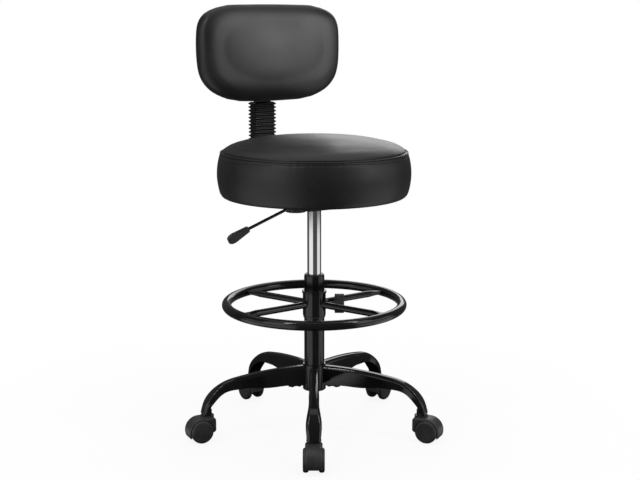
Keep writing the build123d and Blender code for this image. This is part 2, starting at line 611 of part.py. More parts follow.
def lever_pieces():
    """Bent lever rod with its eye and flat tongue, and the tapered handle on its end."""
    points = [(x, 0, z) for x, z in lever_path()]
    path = FilletPolyline(*points, radius=LEVER_BEND_R)
    start = Plane(path @ 0, z_dir=path % 0)
    lever = sweep(start * Circle(LEVER_D / 2), path=path)
    lever += Pos(*points[0]) * (Rot(90, 0, 0) * Cylinder(LEVER_EYE_D / 2, LEVER_EYE_WIDTH))
    tongue_foot = LEVER_PIVOT_Z - TONGUE_THICKNESS / 2
    half = TONGUE_WIDTH / 2
    lever += block((LEVER_PIVOT_X, -half, tongue_foot), (TONGUE_PAST_AXIS, half, tongue_foot + TONGUE_THICKNESS))
    bore = Rot(90, 0, 0) * Cylinder(LEVER_PIN_D / 2 + RUN_GAP, LEVER_EYE_WIDTH * 2)
    lever -= Pos(*points[0]) * bore

    tilt = math.radians(HANDLE_TILT)
    along = Vector(-math.cos(tilt), 0, -math.sin(tilt))
    root = Vector(*points[2])
    sizes = (
        (0.0, HANDLE_ROOT_WIDTH, HANDLE_ROOT_THICKNESS),
        (0.74, HANDLE_END_WIDTH, HANDLE_END_THICKNESS),
        (0.90, HANDLE_END_WIDTH - HANDLE_CORNER_R / 2, HANDLE_END_THICKNESS - HANDLE_CORNER_R / 4),
        (1.0, HANDLE_END_WIDTH - HANDLE_CORNER_R * 2, HANDLE_END_THICKNESS - HANDLE_CORNER_R),
    )
    sections = []
    for share, width, thickness in sizes:
        plane = Plane(root + along * HANDLE_LENGTH * share, x_dir=(0, 1, 0), z_dir=along)
        sections.append(plane * RectangleRounded(thickness, width, HANDLE_CORNER_R))
    handle = loft(sections, ruled=True)
    hole = Plane(root, x_dir=(0, 1, 0), z_dir=along) * Circle(LEVER_D / 2 + PRESS_GAP)
    handle -= extrude(hole, HANDLE_GRIP + PRESS_GAP, dir=along)
    return {"lever_rod": lever - handle, "lever_handle": handle}


def bellows():
    """Ribbed sleeve round the upright of the bar, with a straight bore."""
    valley = 2 * BELLOWS_RIB_DEPTH
    wide = (BELLOWS_WIDTH, BELLOWS_THICKNESS, BELLOWS_CORNER_R)
    slim = (BELLOWS_WIDTH - valley, BELLOWS_THICKNESS - valley, BELLOWS_CORNER_R - BELLOWS_RIB_DEPTH)
    rib = ((0.0, slim), (0.3, slim), (0.5, wide), (0.8, wide))
    height = BELLOWS_RIBS * BELLOWS_PITCH
    sections = []
    for i in range(BELLOWS_RIBS):
        for share, (width, depth, corner) in rib:
            sections.append(Pos(0, 0, (i + share) * BELLOWS_PITCH) * RectangleRounded(width, depth, corner))
    sections.append(Pos(0, 0, height) * RectangleRounded(*slim))
    bore = extrude(RectangleRounded(*[size - 2 * BELLOWS_WALL for size in slim[:2]], slim[2] - BELLOWS_WALL), height)
    slot = extrude(Rectangle(*[size + 2 * BELLOWS_GRIP_GAP for size in (BAR_WIDTH, BAR_THICKNESS)]), height)
    sleeve = loft(sections, ruled=True) - Pos(0, 0, BELLOWS_COLLAR) * bore - slot
    return Pos(0, BAR_UPRIGHT_Y, BELLOWS_FOOT_Z) * sleeve


def bar_pieces():
    """L-shaped flat bar, its bellows and the knob that clamps its depth."""
    corners = ((0, BAR_FRONT_Y, BAR_Z), (0, BAR_UPRIGHT_Y, BAR_Z), (0, BAR_UPRIGHT_Y, BAR_TOP_Z))
    path = FilletPolyline(*corners, radius=BAR_BEND_R)
    start = Plane(corners[0], x_dir=(1, 0, 0), z_dir=(0, 1, 0))
    bar = sweep(start * Rectangle(BAR_WIDTH, BAR_THICKNESS), path=path)
    stud_top = GUIDE_FOOT_Z + GUIDE_WALL
    knob_top = GUIDE_FOOT_Z - DEPTH_STUD_SHOWS
    knob = fluted_knob(DEPTH_KNOB_D, DEPTH_KNOB_HEIGHT, stud_top - knob_top)
    return {"back_bar": bar, "bellows": bellows(), "depth_knob": Pos(0, DEPTH_KNOB_Y, knob_top) * knob}


def back_outline(inset):
    """Outline of the backrest in its own XZ plane, drawn in by an inset, as arcs between rounded-form points."""
    points = []
    for i in range(2 * BACK_ARCS):
        turn = math.pi * (i - 1) / BACK_ARCS
        across_share, up_share = math.cos(turn), math.sin(turn)
        power = 2 / (BACK_TOP_FULLNESS if up_share >= 0 else BACK_FOOT_FULLNESS)
        reach = BACK_RISE if up_share >= 0 else BACK_FALL
        x = math.copysign(abs(across_share) ** power, across_share) * (BACK_HALF_WIDTH - inset)
        z = math.copysign(abs(up_share) ** power, up_share) * (reach - inset)
        points.append((x, z))
    points.append(points[0])
    arcs = [ThreePointArc(*points[2 * i : 2 * i + 3]) for i in range(BACK_ARCS)]
    return make_face([edge for arc in arcs for edge in arc.edges()])


def back_plane(y):
    """Upright plane across the backrest, facing forward."""
    return Plane((0, y, BACK_WIDE_Z), x_dir=(1, 0, 0), z_dir=(0, -1, 0))


def back_screw_places():
    """Places of the screws in the bracket's flanges."""
    x = BAR_WIDTH / 2 + GUIDE_WALL + BRACKET_FLANGE / 2
    low = BRACKET_FOOT_Z + BACK_SCREW_MARGIN
    high = BRACKET_FOOT_Z + BRACKET_HEIGHT - BACK_SCREW_MARGIN
    return [Pos(side * x, 0, z) for side in (-1, 1) for z in (low, high)]


def along_y(diameter, low, high):
    """Round bar along Y between two places."""
    return Pos(0, low, 0) * (Rot(-90, 0, 0) * Cylinder(diameter / 2, high - low, align=ON_FLOOR))


def back_pieces():
    """Board, cushion, sleeve bracket, screws and height knob of the backrest."""
    board_front = BACK_REAR_Y - BACK_BOARD
    board = extrude(back_plane(BACK_REAR_Y) * back_outline(BACK_BOARD_INSET), BACK_BOARD)
    stations = [
        back_plane(BACK_REAR_Y - share * BACK_THICKNESS) * back_outline(inset) for share, inset in BACK_STATIONS
    ]
    pocket = extrude(back_plane(BACK_REAR_Y) * back_outline(BACK_BOARD_INSET - SOFT_GAP), BACK_BOARD + SOFT_GAP)
    cushion = loft(stations) - pocket

    half = BAR_WIDTH / 2 + SLIDE_GAP
    sleeve = half + BRACKET_WALL
    flange = BAR_WIDTH / 2 + GUIDE_WALL + BRACKET_FLANGE
    bar_front = BAR_UPRIGHT_Y - BAR_THICKNESS / 2 - SLIDE_GAP
    bar_rear = BAR_UPRIGHT_Y + BAR_THICKNESS / 2 + SLIDE_GAP
    bracket_rear = bar_rear + BRACKET_WALL
    low, high = BRACKET_FOOT_Z, BRACKET_FOOT_Z + BRACKET_HEIGHT
    bracket = block((-flange, BACK_REAR_Y, low), (flange, bar_front, high))
    bracket += block((-sleeve, BACK_REAR_Y, low), (sleeve, bracket_rear, high))
    bracket -= block((-half, bar_front, 0), (half, bar_rear, high * 2))
    bracket -= Pos(0, 0, HEIGHT_KNOB_Z) * along_y(KNOB_STUD_D + 2 * RUN_GAP, BAR_UPRIGHT_Y, bracket_rear)

    screw_tip = BACK_REAR_Y - BACK_SCREW_IN_BOARD
    head = along_y(SCREW_HEAD_D, bar_front, bar_front + SCREW_HEAD_HEIGHT)
    screw = fillet(head.edges().group_by(Axis.Y)[-1], SCREW_HEAD_HEIGHT / 2) + along_y(SCREW_D, screw_tip, bar_front)
    for place in back_screw_places():
        hole = place * along_y(SCREW_D + 2 * PRESS_GAP, screw_tip, bar_front)
        board -= hole
        bracket -= hole

    knob_front = bracket_rear + HEIGHT_STUD_SHOWS
    knob = fluted_knob(HEIGHT_KNOB_D, HEIGHT_KNOB_LENGTH, knob_front - bar_rear)
    return {
        "back_board": board,
        "back_cushion": cushion,
        "back_bracket": bracket,
        "back_screws": group([place * screw for place in back_screw_places()]),
        "height_knob": Pos(0, knob_front, HEIGHT_KNOB_Z) * (Rot(90, 0, 0) * knob),
    }


def ring_spoke(torus):
    """One spoke along +X, pinched flat where it meets the ring."""
    start = RING_HUB_D / 4
    pinch_end = RING_R - RING_TUBE_D / 2 - RING_TUBE_D / 4
    pinch_start = pinch_end - SPOKE_PINCH
    facing = [Plane((x, 0, RING_Z), x_dir=(0, 1, 0), z_dir=(1, 0, 0)) for x in (start, pinch_start, pinch_end, RING_R)]
    round_end = facing[1] * Circle(SPOKE_D / 2)
    corner = SPOKE_PINCH_THICKNESS / 2 - PRESS_GAP
    flat = RectangleRounded(SPOKE_PINCH_WIDTH, SPOKE_PINCH_THICKNESS, corner)
    spoke = extrude(facing[0] * Circle(SPOKE_D / 2), pinch_start - start)
    spoke += loft([round_end, facing[2] * flat])
    spoke += extrude(facing[2] * flat, RING_R - pinch_end)
    return spoke - torus - rod(RING_HUB_D + 2 * PRESS_GAP, 0, RING_Z * 2)


def ring_pieces():
    """Foot ring, spokes, hub, split bush, clamp pad and clamp knob."""
    bush_bore = COLUMN_D + 2 * RUN_GAP
    bush_d = bush_bore + 2 * RING_BUSH_WALL
    hub_bore = bush_d + 2 * RUN_GAP
    hub = rod(RING_HUB_D, RING_HUB_FOOT_Z, RING_HUB_TOP_Z)
    hub = chamfer(hub.edges().group_by(Axis.Z)[0], (RING_HUB_D - hub_bore) / 4)
    rim = rod(RING_HUB_RIM_D, RING_HUB_TOP_Z - RING_HUB_RIM, RING_HUB_TOP_Z)
    hub += fillet(rim.edges().filter_by(GeomType.CIRCLE), (RING_HUB_RIM_D - hub_bore) / 6)
    turn = Rot(0, 0, CLAMP_ANGLE) * Pos(0, 0, RING_Z) * Rot(0, 90, 0)
    boss_end = RING_HUB_D / 2 + CLAMP_BOSS_LENGTH
    hub += turn * rod(CLAMP_BOSS_D, bush_bore / 2, boss_end)
    hub -= turn * rod(KNOB_STUD_D + 2 * RUN_GAP, 0, boss_end * 2)
    hub -= rod(hub_bore, 0, RING_HUB_TOP_Z * 2)

    lip_foot = RING_HUB_FOOT_Z - RING_BUSH_LIP
    bush = rod(bush_d, lip_foot, RING_HUB_TOP_Z)
    bush += rod(RING_BUSH_LIP_D, lip_foot, RING_HUB_FOOT_Z - TURN_GAP)
    bush -= rod(bush_bore, 0, RING_HUB_TOP_Z * 2)
    slot = RING_BUSH_SLOT / 2
    bush -= turned(CLAMP_ANGLE, block((-RING_HUB_D, -slot, 0), (0, slot, RING_HUB_TOP_Z * 2)))

    pad_tip = bush_d / 2 + TURN_GAP
    pad_back = pad_tip + CLAMP_PAD_LENGTH
    pad = turn * rod(KNOB_STUD_D, pad_tip, pad_back)
    stud_reach = CLAMP_KNOB_R - pad_back - TURN_GAP
    knob = Pos(0, 0, CLAMP_KNOB_R) * (Rot(180, 0, 0) * fluted_knob(CLAMP_KNOB_D, CLAMP_KNOB_LENGTH, stud_reach))

    ring = Pos(0, 0, RING_Z) * Torus(RING_R, RING_TUBE_D / 2)
    clearance = Pos(0, 0, RING_Z) * Torus(RING_R, RING_TUBE_D / 2 + PRESS_GAP)
    spoke = ring_spoke(clearance)
    spoke_angles = [CLAMP_ANGLE + half + side * SPOKE_ANGLE for half in (0, 180) for side in (-1, 1)]
    return {
        "foot_ring": ring,
        "ring_spokes": group([turned(angle, spoke) for angle in spoke_angles]),
        "ring_hub": hub,
        "ring_bush": bush,
        "clamp_pad": pad,
        "clamp_knob": turn * knob,
    }


os.makedirs("parts", exist_ok=True)
builders = (
    base_pieces, caster_pieces, column_pieces, seat_pieces, lever_pieces, bar_pieces, back_pieces, ring_pieces
)
for build in builders:
    for node, shape in build().items():
        export_step(shape, f"parts/{node}.step")
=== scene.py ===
"""Looks of a drafting chair: padded seat and backrest, foot ring, gas column and caster base."""

import json
import logging
import math
from dataclasses import dataclass, field
from enum import Enum
from typing import Any, Callable, Sequence

import bpy
import numpy as np
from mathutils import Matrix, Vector

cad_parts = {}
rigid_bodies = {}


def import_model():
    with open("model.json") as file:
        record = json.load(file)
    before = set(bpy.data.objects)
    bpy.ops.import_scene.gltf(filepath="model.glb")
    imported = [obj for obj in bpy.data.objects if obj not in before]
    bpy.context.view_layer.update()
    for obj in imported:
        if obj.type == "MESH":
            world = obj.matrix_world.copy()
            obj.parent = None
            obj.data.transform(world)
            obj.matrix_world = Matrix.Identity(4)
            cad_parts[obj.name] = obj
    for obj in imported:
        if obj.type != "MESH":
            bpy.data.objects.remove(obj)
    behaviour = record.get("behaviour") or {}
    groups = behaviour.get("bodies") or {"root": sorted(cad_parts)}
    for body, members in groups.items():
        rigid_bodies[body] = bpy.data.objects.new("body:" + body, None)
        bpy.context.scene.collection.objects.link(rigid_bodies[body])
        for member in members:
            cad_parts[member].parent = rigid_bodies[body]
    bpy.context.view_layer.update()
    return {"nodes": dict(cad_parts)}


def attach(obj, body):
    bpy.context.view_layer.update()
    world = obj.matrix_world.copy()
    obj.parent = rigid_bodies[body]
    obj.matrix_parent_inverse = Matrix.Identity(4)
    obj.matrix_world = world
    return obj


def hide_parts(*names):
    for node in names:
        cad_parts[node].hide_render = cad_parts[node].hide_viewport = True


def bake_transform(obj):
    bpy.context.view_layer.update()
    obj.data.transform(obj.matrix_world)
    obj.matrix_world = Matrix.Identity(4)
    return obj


LOG = logging.getLogger("drafting_chair")
Colour = tuple[float, float, float]
Point = tuple[float, float, float]
Range = tuple[float, float]
RowMap = Callable[[np.ndarray], np.ndarray]

DUST_COLOUR: Colour = (0.42, 0.41, 0.39)
MOTTLE_SHARE = 0.65
ALL_SMOOTH = 180.0
SAME_PLACE = 1e-5
UPRIGHT = 0.9
TINY = 1e-9
FRAME_NODES: dict[str, bpy.types.Object] = {}


class Grain(Enum):
    """Kinds of fine surface relief."""

    PEBBLE = "pebble_grain"
    ORANGE_PEEL = "orange_peel"
    MOULDED = "moulded_grain"
    TURNED = "turned_lines"
    FELT = "felt_fibres"


class Ray(Enum):
    """Kinds of ray that the floor and the surroundings answer in their own way."""

    CAMERA = "Is Camera Ray"
    GLOSSY = "Is Glossy Ray"
    TRANSMISSION = "Is Transmission Ray"


class NodeBench:
    """Adds and links the nodes of one node tree."""

    first_place = -900
    column_step = 180
    row_step = 170
    rows = 4
    colour_inputs = (6, 7)
    colour_output = 2
    number_inputs = (0, 2, 3)

    def __init__(self, tree: bpy.types.NodeTree) -> None:
        """Keeps the tree and empties it."""
        self.tree = tree
        self.tree.nodes.clear()
        self.count = 0

    def add(self, kind: str, inputs: dict[str | int, Any] | None = None, **settings: Any) -> bpy.types.Node:
        """Adds one node.

        Args:
            kind: Blender's name of the node type.
            inputs: Values or output sockets for the node's inputs, by name or place.
            settings: Properties set on the node itself.

        Returns:
            The new node.
        """
        node = self.tree.nodes.new(kind)
        across = self.first_place + self.count * self.column_step
        node.location = (across, (self.count % self.rows) * self.row_step)
        self.count += 1
        for key, value in settings.items():
            setattr(node, key, value)
        for key, value in (inputs or {}).items():
            self.feed(node.inputs[key], value)
        return node

    def feed(self, socket: bpy.types.NodeSocket, value: Any) -> None:
        """Links a socket to an output, or sets its value.

        Args:
            socket: The input to feed.
            value: An output socket, or the value to set.
        """
        if isinstance(value, bpy.types.NodeSocket):
            self.tree.links.new(value, socket)
        else:
            socket.default_value = value

    def math(self, operation: str, first: Any, second: Any = 0.0) -> bpy.types.NodeSocket:
        """Adds a Math node.

        Args:
            operation: Blender's name of the operation.
            first: Its first number or output socket.
            second: Its second number or output socket.

        Returns:
            The node's output.
        """
        node = self.add("ShaderNodeMath", operation=operation)
        self.feed(node.inputs[0], first)
        self.feed(node.inputs[1], second)
        return node.outputs[0]

    def spread(
        self, value: Any, low: float, high: float, to_low: float, to_high: float,
    ) -> bpy.types.NodeSocket:
        """Maps a value from one range to another and returns the clamped output."""
        ends = {"Value": value, "From Min": low, "From Max": high, "To Min": to_low, "To Max": to_high}
        return self.add("ShaderNodeMapRange", ends).outputs["Result"]

    def mix(self, share: Any, first: Any, second: Any) -> bpy.types.NodeSocket:
        """Mixes two colours.

        Args:
            share: How much of the second shows, from 0 to 1.
            first: The first colour or output socket.
            second: The second colour or output socket.

        Returns:
            The mixed colour's output.
        """
        node = self.add("ShaderNodeMix", data_type="RGBA")
        self.feed(node.inputs["Factor"], share)
        for place, value in zip(self.colour_inputs, (first, second)):
            self.feed(node.inputs[place], (*value, 1.0) if isinstance(value, tuple) else value)
        return node.outputs[self.colour_output]

    def mix_value(self, share: Any, first: Any, second: Any) -> bpy.types.NodeSocket:
        """Mixes two numbers.

        Args:
            share: How much of the second counts, from 0 to 1.
            first: The first number or output socket.
            second: The second number or output socket.

        Returns:
            The mixed number's output.
        """
        node = self.add("ShaderNodeMix", data_type="FLOAT")
        for place, value in zip(self.number_inputs, (share, first, second)):
            self.feed(node.inputs[place], value)
        return node.outputs[0]

    def weigh(self, first: Any, share: float, second: Any) -> bpy.types.NodeSocket:
        """Adds two values, the first by its share and the second by the rest, and returns the output."""
        rest = self.math("MULTIPLY", second, 1.0 - share)
        return self.math("ADD", self.math("MULTIPLY", first, share), rest)

    def noise(
        self, place: Any, scale: Any, detail: float = 3.0, roughness: float = 0.5,
    ) -> bpy.types.NodeSocket:
        """Adds a noise texture and returns its value."""
        inputs = {"Vector": place, "Scale": scale, "Detail": detail, "Roughness": roughness}
        return self.add("ShaderNodeTexNoise", inputs).outputs["Fac"]


class GroupShelf:
    """Shader node groups that several finishes share, each built once."""

    def __init__(self) -> None:
        """Starts with an empty shelf."""
        self.made: dict[str, bpy.types.NodeTree] = {}

    def get(self, name: str) -> bpy.types.NodeTree:
        """Finds a group, and builds it on first use.

        Args:
            name: The group's name.

        Returns:
            The group's node tree.
        """
        if name not in self.made:
            self.made[name] = getattr(self, f"_{name}")()
        return self.made[name]

    def _start(
        self, name: str, inputs: Sequence[tuple[str, float]], outputs: Sequence[str],
    ) -> tuple[NodeBench, Any, Any]:
        """Makes an empty group with named sockets.

        Args:
            name: The group's name.
            inputs: Names and usual values of its inputs.
            outputs: Names of its outputs.

        Returns:
            The bench, the input node and the output node.
        """
        tree = bpy.data.node_groups.new(name, "ShaderNodeTree")
        for label, value in inputs:
            socket = tree.interface.new_socket(name=label, in_out="INPUT", socket_type="NodeSocketFloat")
            socket.default_value = value
        for label in outputs:
            tree.interface.new_socket(name=label, in_out="OUTPUT", socket_type="NodeSocketFloat")
        bench = NodeBench(tree)
        return bench, bench.add("NodeGroupInput"), bench.add("NodeGroupOutput")

    def _mottle(self) -> bpy.types.NodeTree:
        """Builds slow blotches over a surface, from 0 to 1.

        Returns:
            The new group.
        """
        bench, given, out = self._start("mottle", [("Scale", 20.0)], ["Value"])
        place = bench.add("ShaderNodeTexCoord").outputs["Object"]
        slow = bench.noise(place, given.outputs["Scale"], 4.0, 0.55)
        bench.feed(out.inputs["Value"], bench.spread(slow, 0.32, 0.68, 0.0, 1.0))
        return bench.tree

    def _edge_rub(self) -> bpy.types.NodeTree:
        """Builds a mask of edges that get rubbed, broken up by noise.

        Returns:
            The new group.
        """
        bench, given, out = self._start("edge_rub", [("Radius", 0.001), ("Amount", 0.5)], ["Mask"])
        rounded = bench.add("ShaderNodeBevel", {"Radius": given.outputs["Radius"]}, samples=4)
        flat = bench.add("ShaderNodeNewGeometry")
        turn = bench.add("ShaderNodeVectorMath", operation="DOT_PRODUCT")
        bench.feed(turn.inputs[0], rounded.outputs["Normal"])
        bench.feed(turn.inputs[1], flat.outputs["Normal"])
        edge = bench.spread(turn.outputs["Value"], 0.99, 0.86, 0.0, 1.0)
        place = bench.add("ShaderNodeTexCoord").outputs["Object"]
        patches = bench.spread(bench.noise(place, 90.0, 4.0), 0.35, 0.65, 0.15, 1.0)
        amount = bench.math("MULTIPLY", bench.math("MULTIPLY", edge, patches), given.outputs["Amount"])
        bench.feed(out.inputs["Mask"], amount)
        return bench.tree

    def _settled_dust(self) -> bpy.types.NodeTree:
        """Builds a mask of thin dust on what faces up.

        Returns:
            The new group.
        """
        bench, given, out = self._start("settled_dust", [("Amount", 0.1)], ["Mask"])
        normal = bench.add("ShaderNodeNewGeometry").outputs["Normal"]
        up = bench.add("ShaderNodeSeparateXYZ", {"Vector": normal}).outputs["Z"]
        place = bench.add("ShaderNodeTexCoord").outputs["Object"]
        patches = bench.spread(bench.noise(place, 55.0, 6.0, 0.65), 0.4, 0.7, 0.2, 1.0)
        facing = bench.spread(up, 0.45, 1.0, 0.0, 1.0)
        settled = bench.math("MULTIPLY", facing, patches)
        bench.feed(out.inputs["Mask"], bench.math("MULTIPLY", settled, given.outputs["Amount"]))
        return bench.tree

    def _pebble_grain(self) -> bpy.types.NodeTree:
        """Builds the pebbled relief of coated upholstery, with fine creases.

        Returns:
            The new group.
        """
        bench, given, out = self._start("pebble_grain", [("Scale", 700.0)], ["Height"])
        place = bench.add("ShaderNodeTexCoord").outputs["Object"]
        scale = given.outputs["Scale"]
        cells = bench.add("ShaderNodeTexVoronoi", {"Vector": place, "Scale": scale}, feature="SMOOTH_F1")
        pebble = bench.spread(cells.outputs["Distance"], 0.15, 0.75, 1.0, 0.0)
        fine = bench.noise(place, bench.math("MULTIPLY", scale, 2.3), 2.0)
        bench.feed(out.inputs["Height"], bench.weigh(pebble, 0.8, fine))
        return bench.tree

    def _orange_peel(self) -> bpy.types.NodeTree:
        """Builds the soft ripple of sprayed paint.

        Returns:
            The new group.
        """
        bench, given, out = self._start("orange_peel", [("Scale", 500.0)], ["Height"])
        place = bench.add("ShaderNodeTexCoord").outputs["Object"]
        bench.feed(out.inputs["Height"], bench.noise(place, given.outputs["Scale"], 1.0, 0.4))
        return bench.tree

    def _moulded_grain(self) -> bpy.types.NodeTree:
        """Builds the sparked grain of moulded plastic and rubber.

        Returns:
            The new group.
        """
        bench, given, out = self._start("moulded_grain", [("Scale", 1400.0)], ["Height"])
        place = bench.add("ShaderNodeTexCoord").outputs["Object"]
        scale = given.outputs["Scale"]
        coarse = bench.noise(place, scale, 2.0, 0.6)
        slow = bench.noise(place, bench.math("MULTIPLY", scale, 0.06), 2.0)
        bench.feed(out.inputs["Height"], bench.weigh(coarse, 0.7, slow))
        return bench.tree

    def _turned_lines(self) -> bpy.types.NodeTree:
        """Builds fine lines round an upright turned or drawn part.

        Returns:
            The new group.
        """
        bench, given, out = self._start("turned_lines", [("Scale", 900.0)], ["Height"])
        place = bench.add("ShaderNodeTexCoord").outputs["Object"]
        drawn = bench.add("ShaderNodeMapping", {"Vector": place, "Scale": (0.05, 0.05, 1.0)})
        lines = bench.noise(drawn.outputs["Vector"], given.outputs["Scale"], 3.0, 0.6)
        bench.feed(out.inputs["Height"], lines)
        return bench.tree

    def _felt_fibres(self) -> bpy.types.NodeTree:
        """Builds the pressed fibres of a lining cloth.

        Returns:
            The new group.
        """
        bench, given, out = self._start("felt_fibres", [("Scale", 800.0)], ["Height"])
        place = bench.add("ShaderNodeTexCoord").outputs["Object"]
        scale = given.outputs["Scale"]
        spots = bench.add("ShaderNodeTexVoronoi", {"Vector": place, "Scale": scale}, feature="F1")
        fibres = bench.noise(place, bench.math("MULTIPLY", scale, 0.8), 6.0, 0.7)
        bench.feed(out.inputs["Height"], bench.math("MULTIPLY", spots.outputs["Distance"], fibres))
        return bench.tree


@dataclass(frozen=True)
class Finish:
    """One surface finish: two body colours, gloss range, relief and wear."""

    name: str
    slot: str
    base: Colour
    tint: Colour
    roughness: Range
    grain: Grain
    grain_scale: float
    grain_depth: float
    grain_strength: float = 1.0
    blotch: float = 20.0
    metallic: float = 0.0
    specular: float = 0.5
    sheen: float = 0.0
    rub: float = 0.0
    rub_radius: float = 0.0008
    rub_colour: Colour = (0.2, 0.2, 0.2)
    dust: float = 0.0

    def material(self, shelf: GroupShelf) -> bpy.types.Material:
        """Builds the finish as a node material.

        Args:
            shelf: The shared node groups.

        Returns:
            The new material.
        """
        made = bpy.data.materials.new(self.name)
        made.use_nodes = True
        bench = NodeBench(made.node_tree)
        blotches = bench.add("ShaderNodeGroup", node_tree=shelf.get("mottle"))
        blotches.inputs["Scale"].default_value = self.blotch
        slow = blotches.outputs["Value"]
        colour = bench.mix(slow, self.base, self.tint)
        if self.rub:
            rubbed = bench.add("ShaderNodeGroup", node_tree=shelf.get("edge_rub"))
            rubbed.inputs["Radius"].default_value = self.rub_radius
            rubbed.inputs["Amount"].default_value = self.rub
            colour = bench.mix(rubbed.outputs["Mask"], colour, self.rub_colour)
        if self.dust:
            dusty = bench.add("ShaderNodeGroup", node_tree=shelf.get("settled_dust"))
            dusty.inputs["Amount"].default_value = self.dust
            colour = bench.mix(dusty.outputs["Mask"], colour, DUST_COLOUR)
        relief = bench.add("ShaderNodeGroup", node_tree=shelf.get(self.grain.value))
        relief.inputs["Scale"].default_value = self.grain_scale
        height = relief.outputs["Height"]
        gloss = bench.weigh(slow, MOTTLE_SHARE, height)
        raised = {"Strength": self.grain_strength, "Distance": self.grain_depth, "Height": height}
        bump = bench.add("ShaderNodeBump", raised)
        shader = bench.add(
            "ShaderNodeBsdfPrincipled",
            {
                "Base Color": colour,
                "Roughness": bench.spread(gloss, 0.0, 1.0, *self.roughness),
                "Normal": bump.outputs["Normal"],
                "Metallic": self.metallic,
                "Specular IOR Level": self.specular,
                "Sheen Weight": self.sheen,
            },
        )
        out = bench.add("ShaderNodeOutputMaterial")
        bench.feed(out.inputs["Surface"], shader.outputs["BSDF"])
        return made


GLOSS_PAINT = Finish(
    name="gloss_black_paint", slot="black_paint",
    base=(0.005, 0.005, 0.0055), tint=(0.010, 0.010, 0.0105), roughness=(0.07, 0.15),
    grain=Grain.ORANGE_PEEL, grain_scale=420.0, grain_depth=0.00012, grain_strength=0.35,
    blotch=14.0, specular=0.5,
    rub=0.3, rub_radius=0.0012, rub_colour=(0.06, 0.06, 0.063), dust=0.015,
)
CHROME = Finish(
    name="polished_chrome", slot="chrome",
    base=(0.74, 0.74, 0.76), tint=(0.82, 0.82, 0.83), roughness=(0.05, 0.11),
    grain=Grain.TURNED, grain_scale=1600.0, grain_depth=0.00002, grain_strength=0.25,
    blotch=9.0, metallic=1.0,
)
ZINC = Finish(
    name="zinc_steel", slot="steel",
    base=(0.42, 0.42, 0.43), tint=(0.56, 0.56, 0.57), roughness=(0.28, 0.46),
    grain=Grain.TURNED, grain_scale=1100.0, grain_depth=0.00004, grain_strength=0.5,
    blotch=60.0, metallic=1.0,
)
DARK_STEEL = Finish(
    name="blackened_steel", slot="steel",
    base=(0.030, 0.030, 0.031), tint=(0.055, 0.055, 0.056), roughness=(0.30, 0.46),
    grain=Grain.TURNED, grain_scale=1100.0, grain_depth=0.00004, grain_strength=0.5,
    blotch=60.0, metallic=1.0,
)
CASTER_PLASTIC = Finish(
    name="caster_plastic", slot="caster_plastic",
    base=(0.030, 0.030, 0.031), tint=(0.048, 0.048, 0.050), roughness=(0.34, 0.50),
    grain=Grain.MOULDED, grain_scale=1500.0, grain_depth=0.00008, grain_strength=0.5,
    blotch=40.0, specular=0.4,
    rub=0.3, rub_radius=0.0008, rub_colour=(0.09, 0.09, 0.09), dust=0.05,
)
KNOB_PLASTIC = Finish(
    name="knob_plastic", slot="knob_plastic",
    base=(0.032, 0.032, 0.034), tint=(0.050, 0.050, 0.052), roughness=(0.38, 0.54),
    grain=Grain.MOULDED, grain_scale=1300.0, grain_depth=0.00008, grain_strength=0.5,
    blotch=50.0, specular=0.45,
    rub=0.35, rub_radius=0.0007, rub_colour=(0.12, 0.12, 0.12), dust=0.04,
)
NYLON = Finish(
    name="smooth_nylon", slot="nylon",
    base=(0.026, 0.026, 0.027), tint=(0.040, 0.040, 0.041), roughness=(0.28, 0.40),
    grain=Grain.MOULDED, grain_scale=900.0, grain_depth=0.00004, grain_strength=0.4,
    blotch=40.0,
)
RUBBER = Finish(
    name="bellows_rubber", slot="rubber",
    base=(0.004, 0.004, 0.004), tint=(0.009, 0.009, 0.009), roughness=(0.28, 0.40),
    grain=Grain.MOULDED, grain_scale=1100.0, grain_depth=0.0001, grain_strength=0.5,
    blotch=45.0, specular=0.5,
    dust=0.02,
)
UPHOLSTERY = Finish(
    name="coated_upholstery", slot="upholstery",
    base=(0.009, 0.009, 0.0098), tint=(0.014, 0.014, 0.015), roughness=(0.36, 0.48),
    grain=Grain.PEBBLE, grain_scale=780.0, grain_depth=0.00016, grain_strength=0.5,
    blotch=11.0, specular=0.45, sheen=0.02,
)
THREAD = Finish(
    name="seam_thread", slot="upholstery",
    base=(0.030, 0.030, 0.031), tint=(0.050, 0.050, 0.052), roughness=(0.50, 0.64),
    grain=Grain.FELT, grain_scale=2600.0, grain_depth=0.00012, grain_strength=0.6,
    blotch=90.0, sheen=0.1,
)
LINING = Finish(
    name="underside_lining", slot="plywood",
    base=(0.018, 0.018, 0.018), tint=(0.030, 0.029, 0.028), roughness=(0.72, 0.90),
    grain=Grain.FELT, grain_scale=900.0, grain_depth=0.0002, grain_strength=0.8,
    blotch=25.0, specular=0.25,
)


class Wardrobe:
    """Makes each finish once and puts it on pieces."""

    def __init__(self) -> None:
        """Starts with no materials and an empty shelf of groups."""
        self.shelf = GroupShelf()
        self.made: dict[str, bpy.types.Material] = {}

    def dress(self, piece: bpy.types.Object, finish: Finish) -> None:
        """Puts one finish all over a piece.

        Args:
            piece: A new piece or a node of the frame.
            finish: Its finish.
        """
        if finish.name not in self.made:
            self.made[finish.name] = finish.material(self.shelf)
        piece.data.materials.clear()
        piece.data.materials.append(self.made[finish.name])

    def dress_nodes(self, finish: Finish, *nodes: str) -> None:
        """Puts one finish on nodes of the frame, by name."""
        for node in nodes:
            self.dress(FRAME_NODES[node], finish)


def deselect() -> None:
    """Leaves nothing selected or active."""
    if bpy.context.object and bpy.context.object.mode != "OBJECT":
        bpy.ops.object.mode_set(mode="OBJECT")
    for other in bpy.context.view_layer.objects:
        other.select_set(False)
    bpy.context.view_layer.objects.active = None


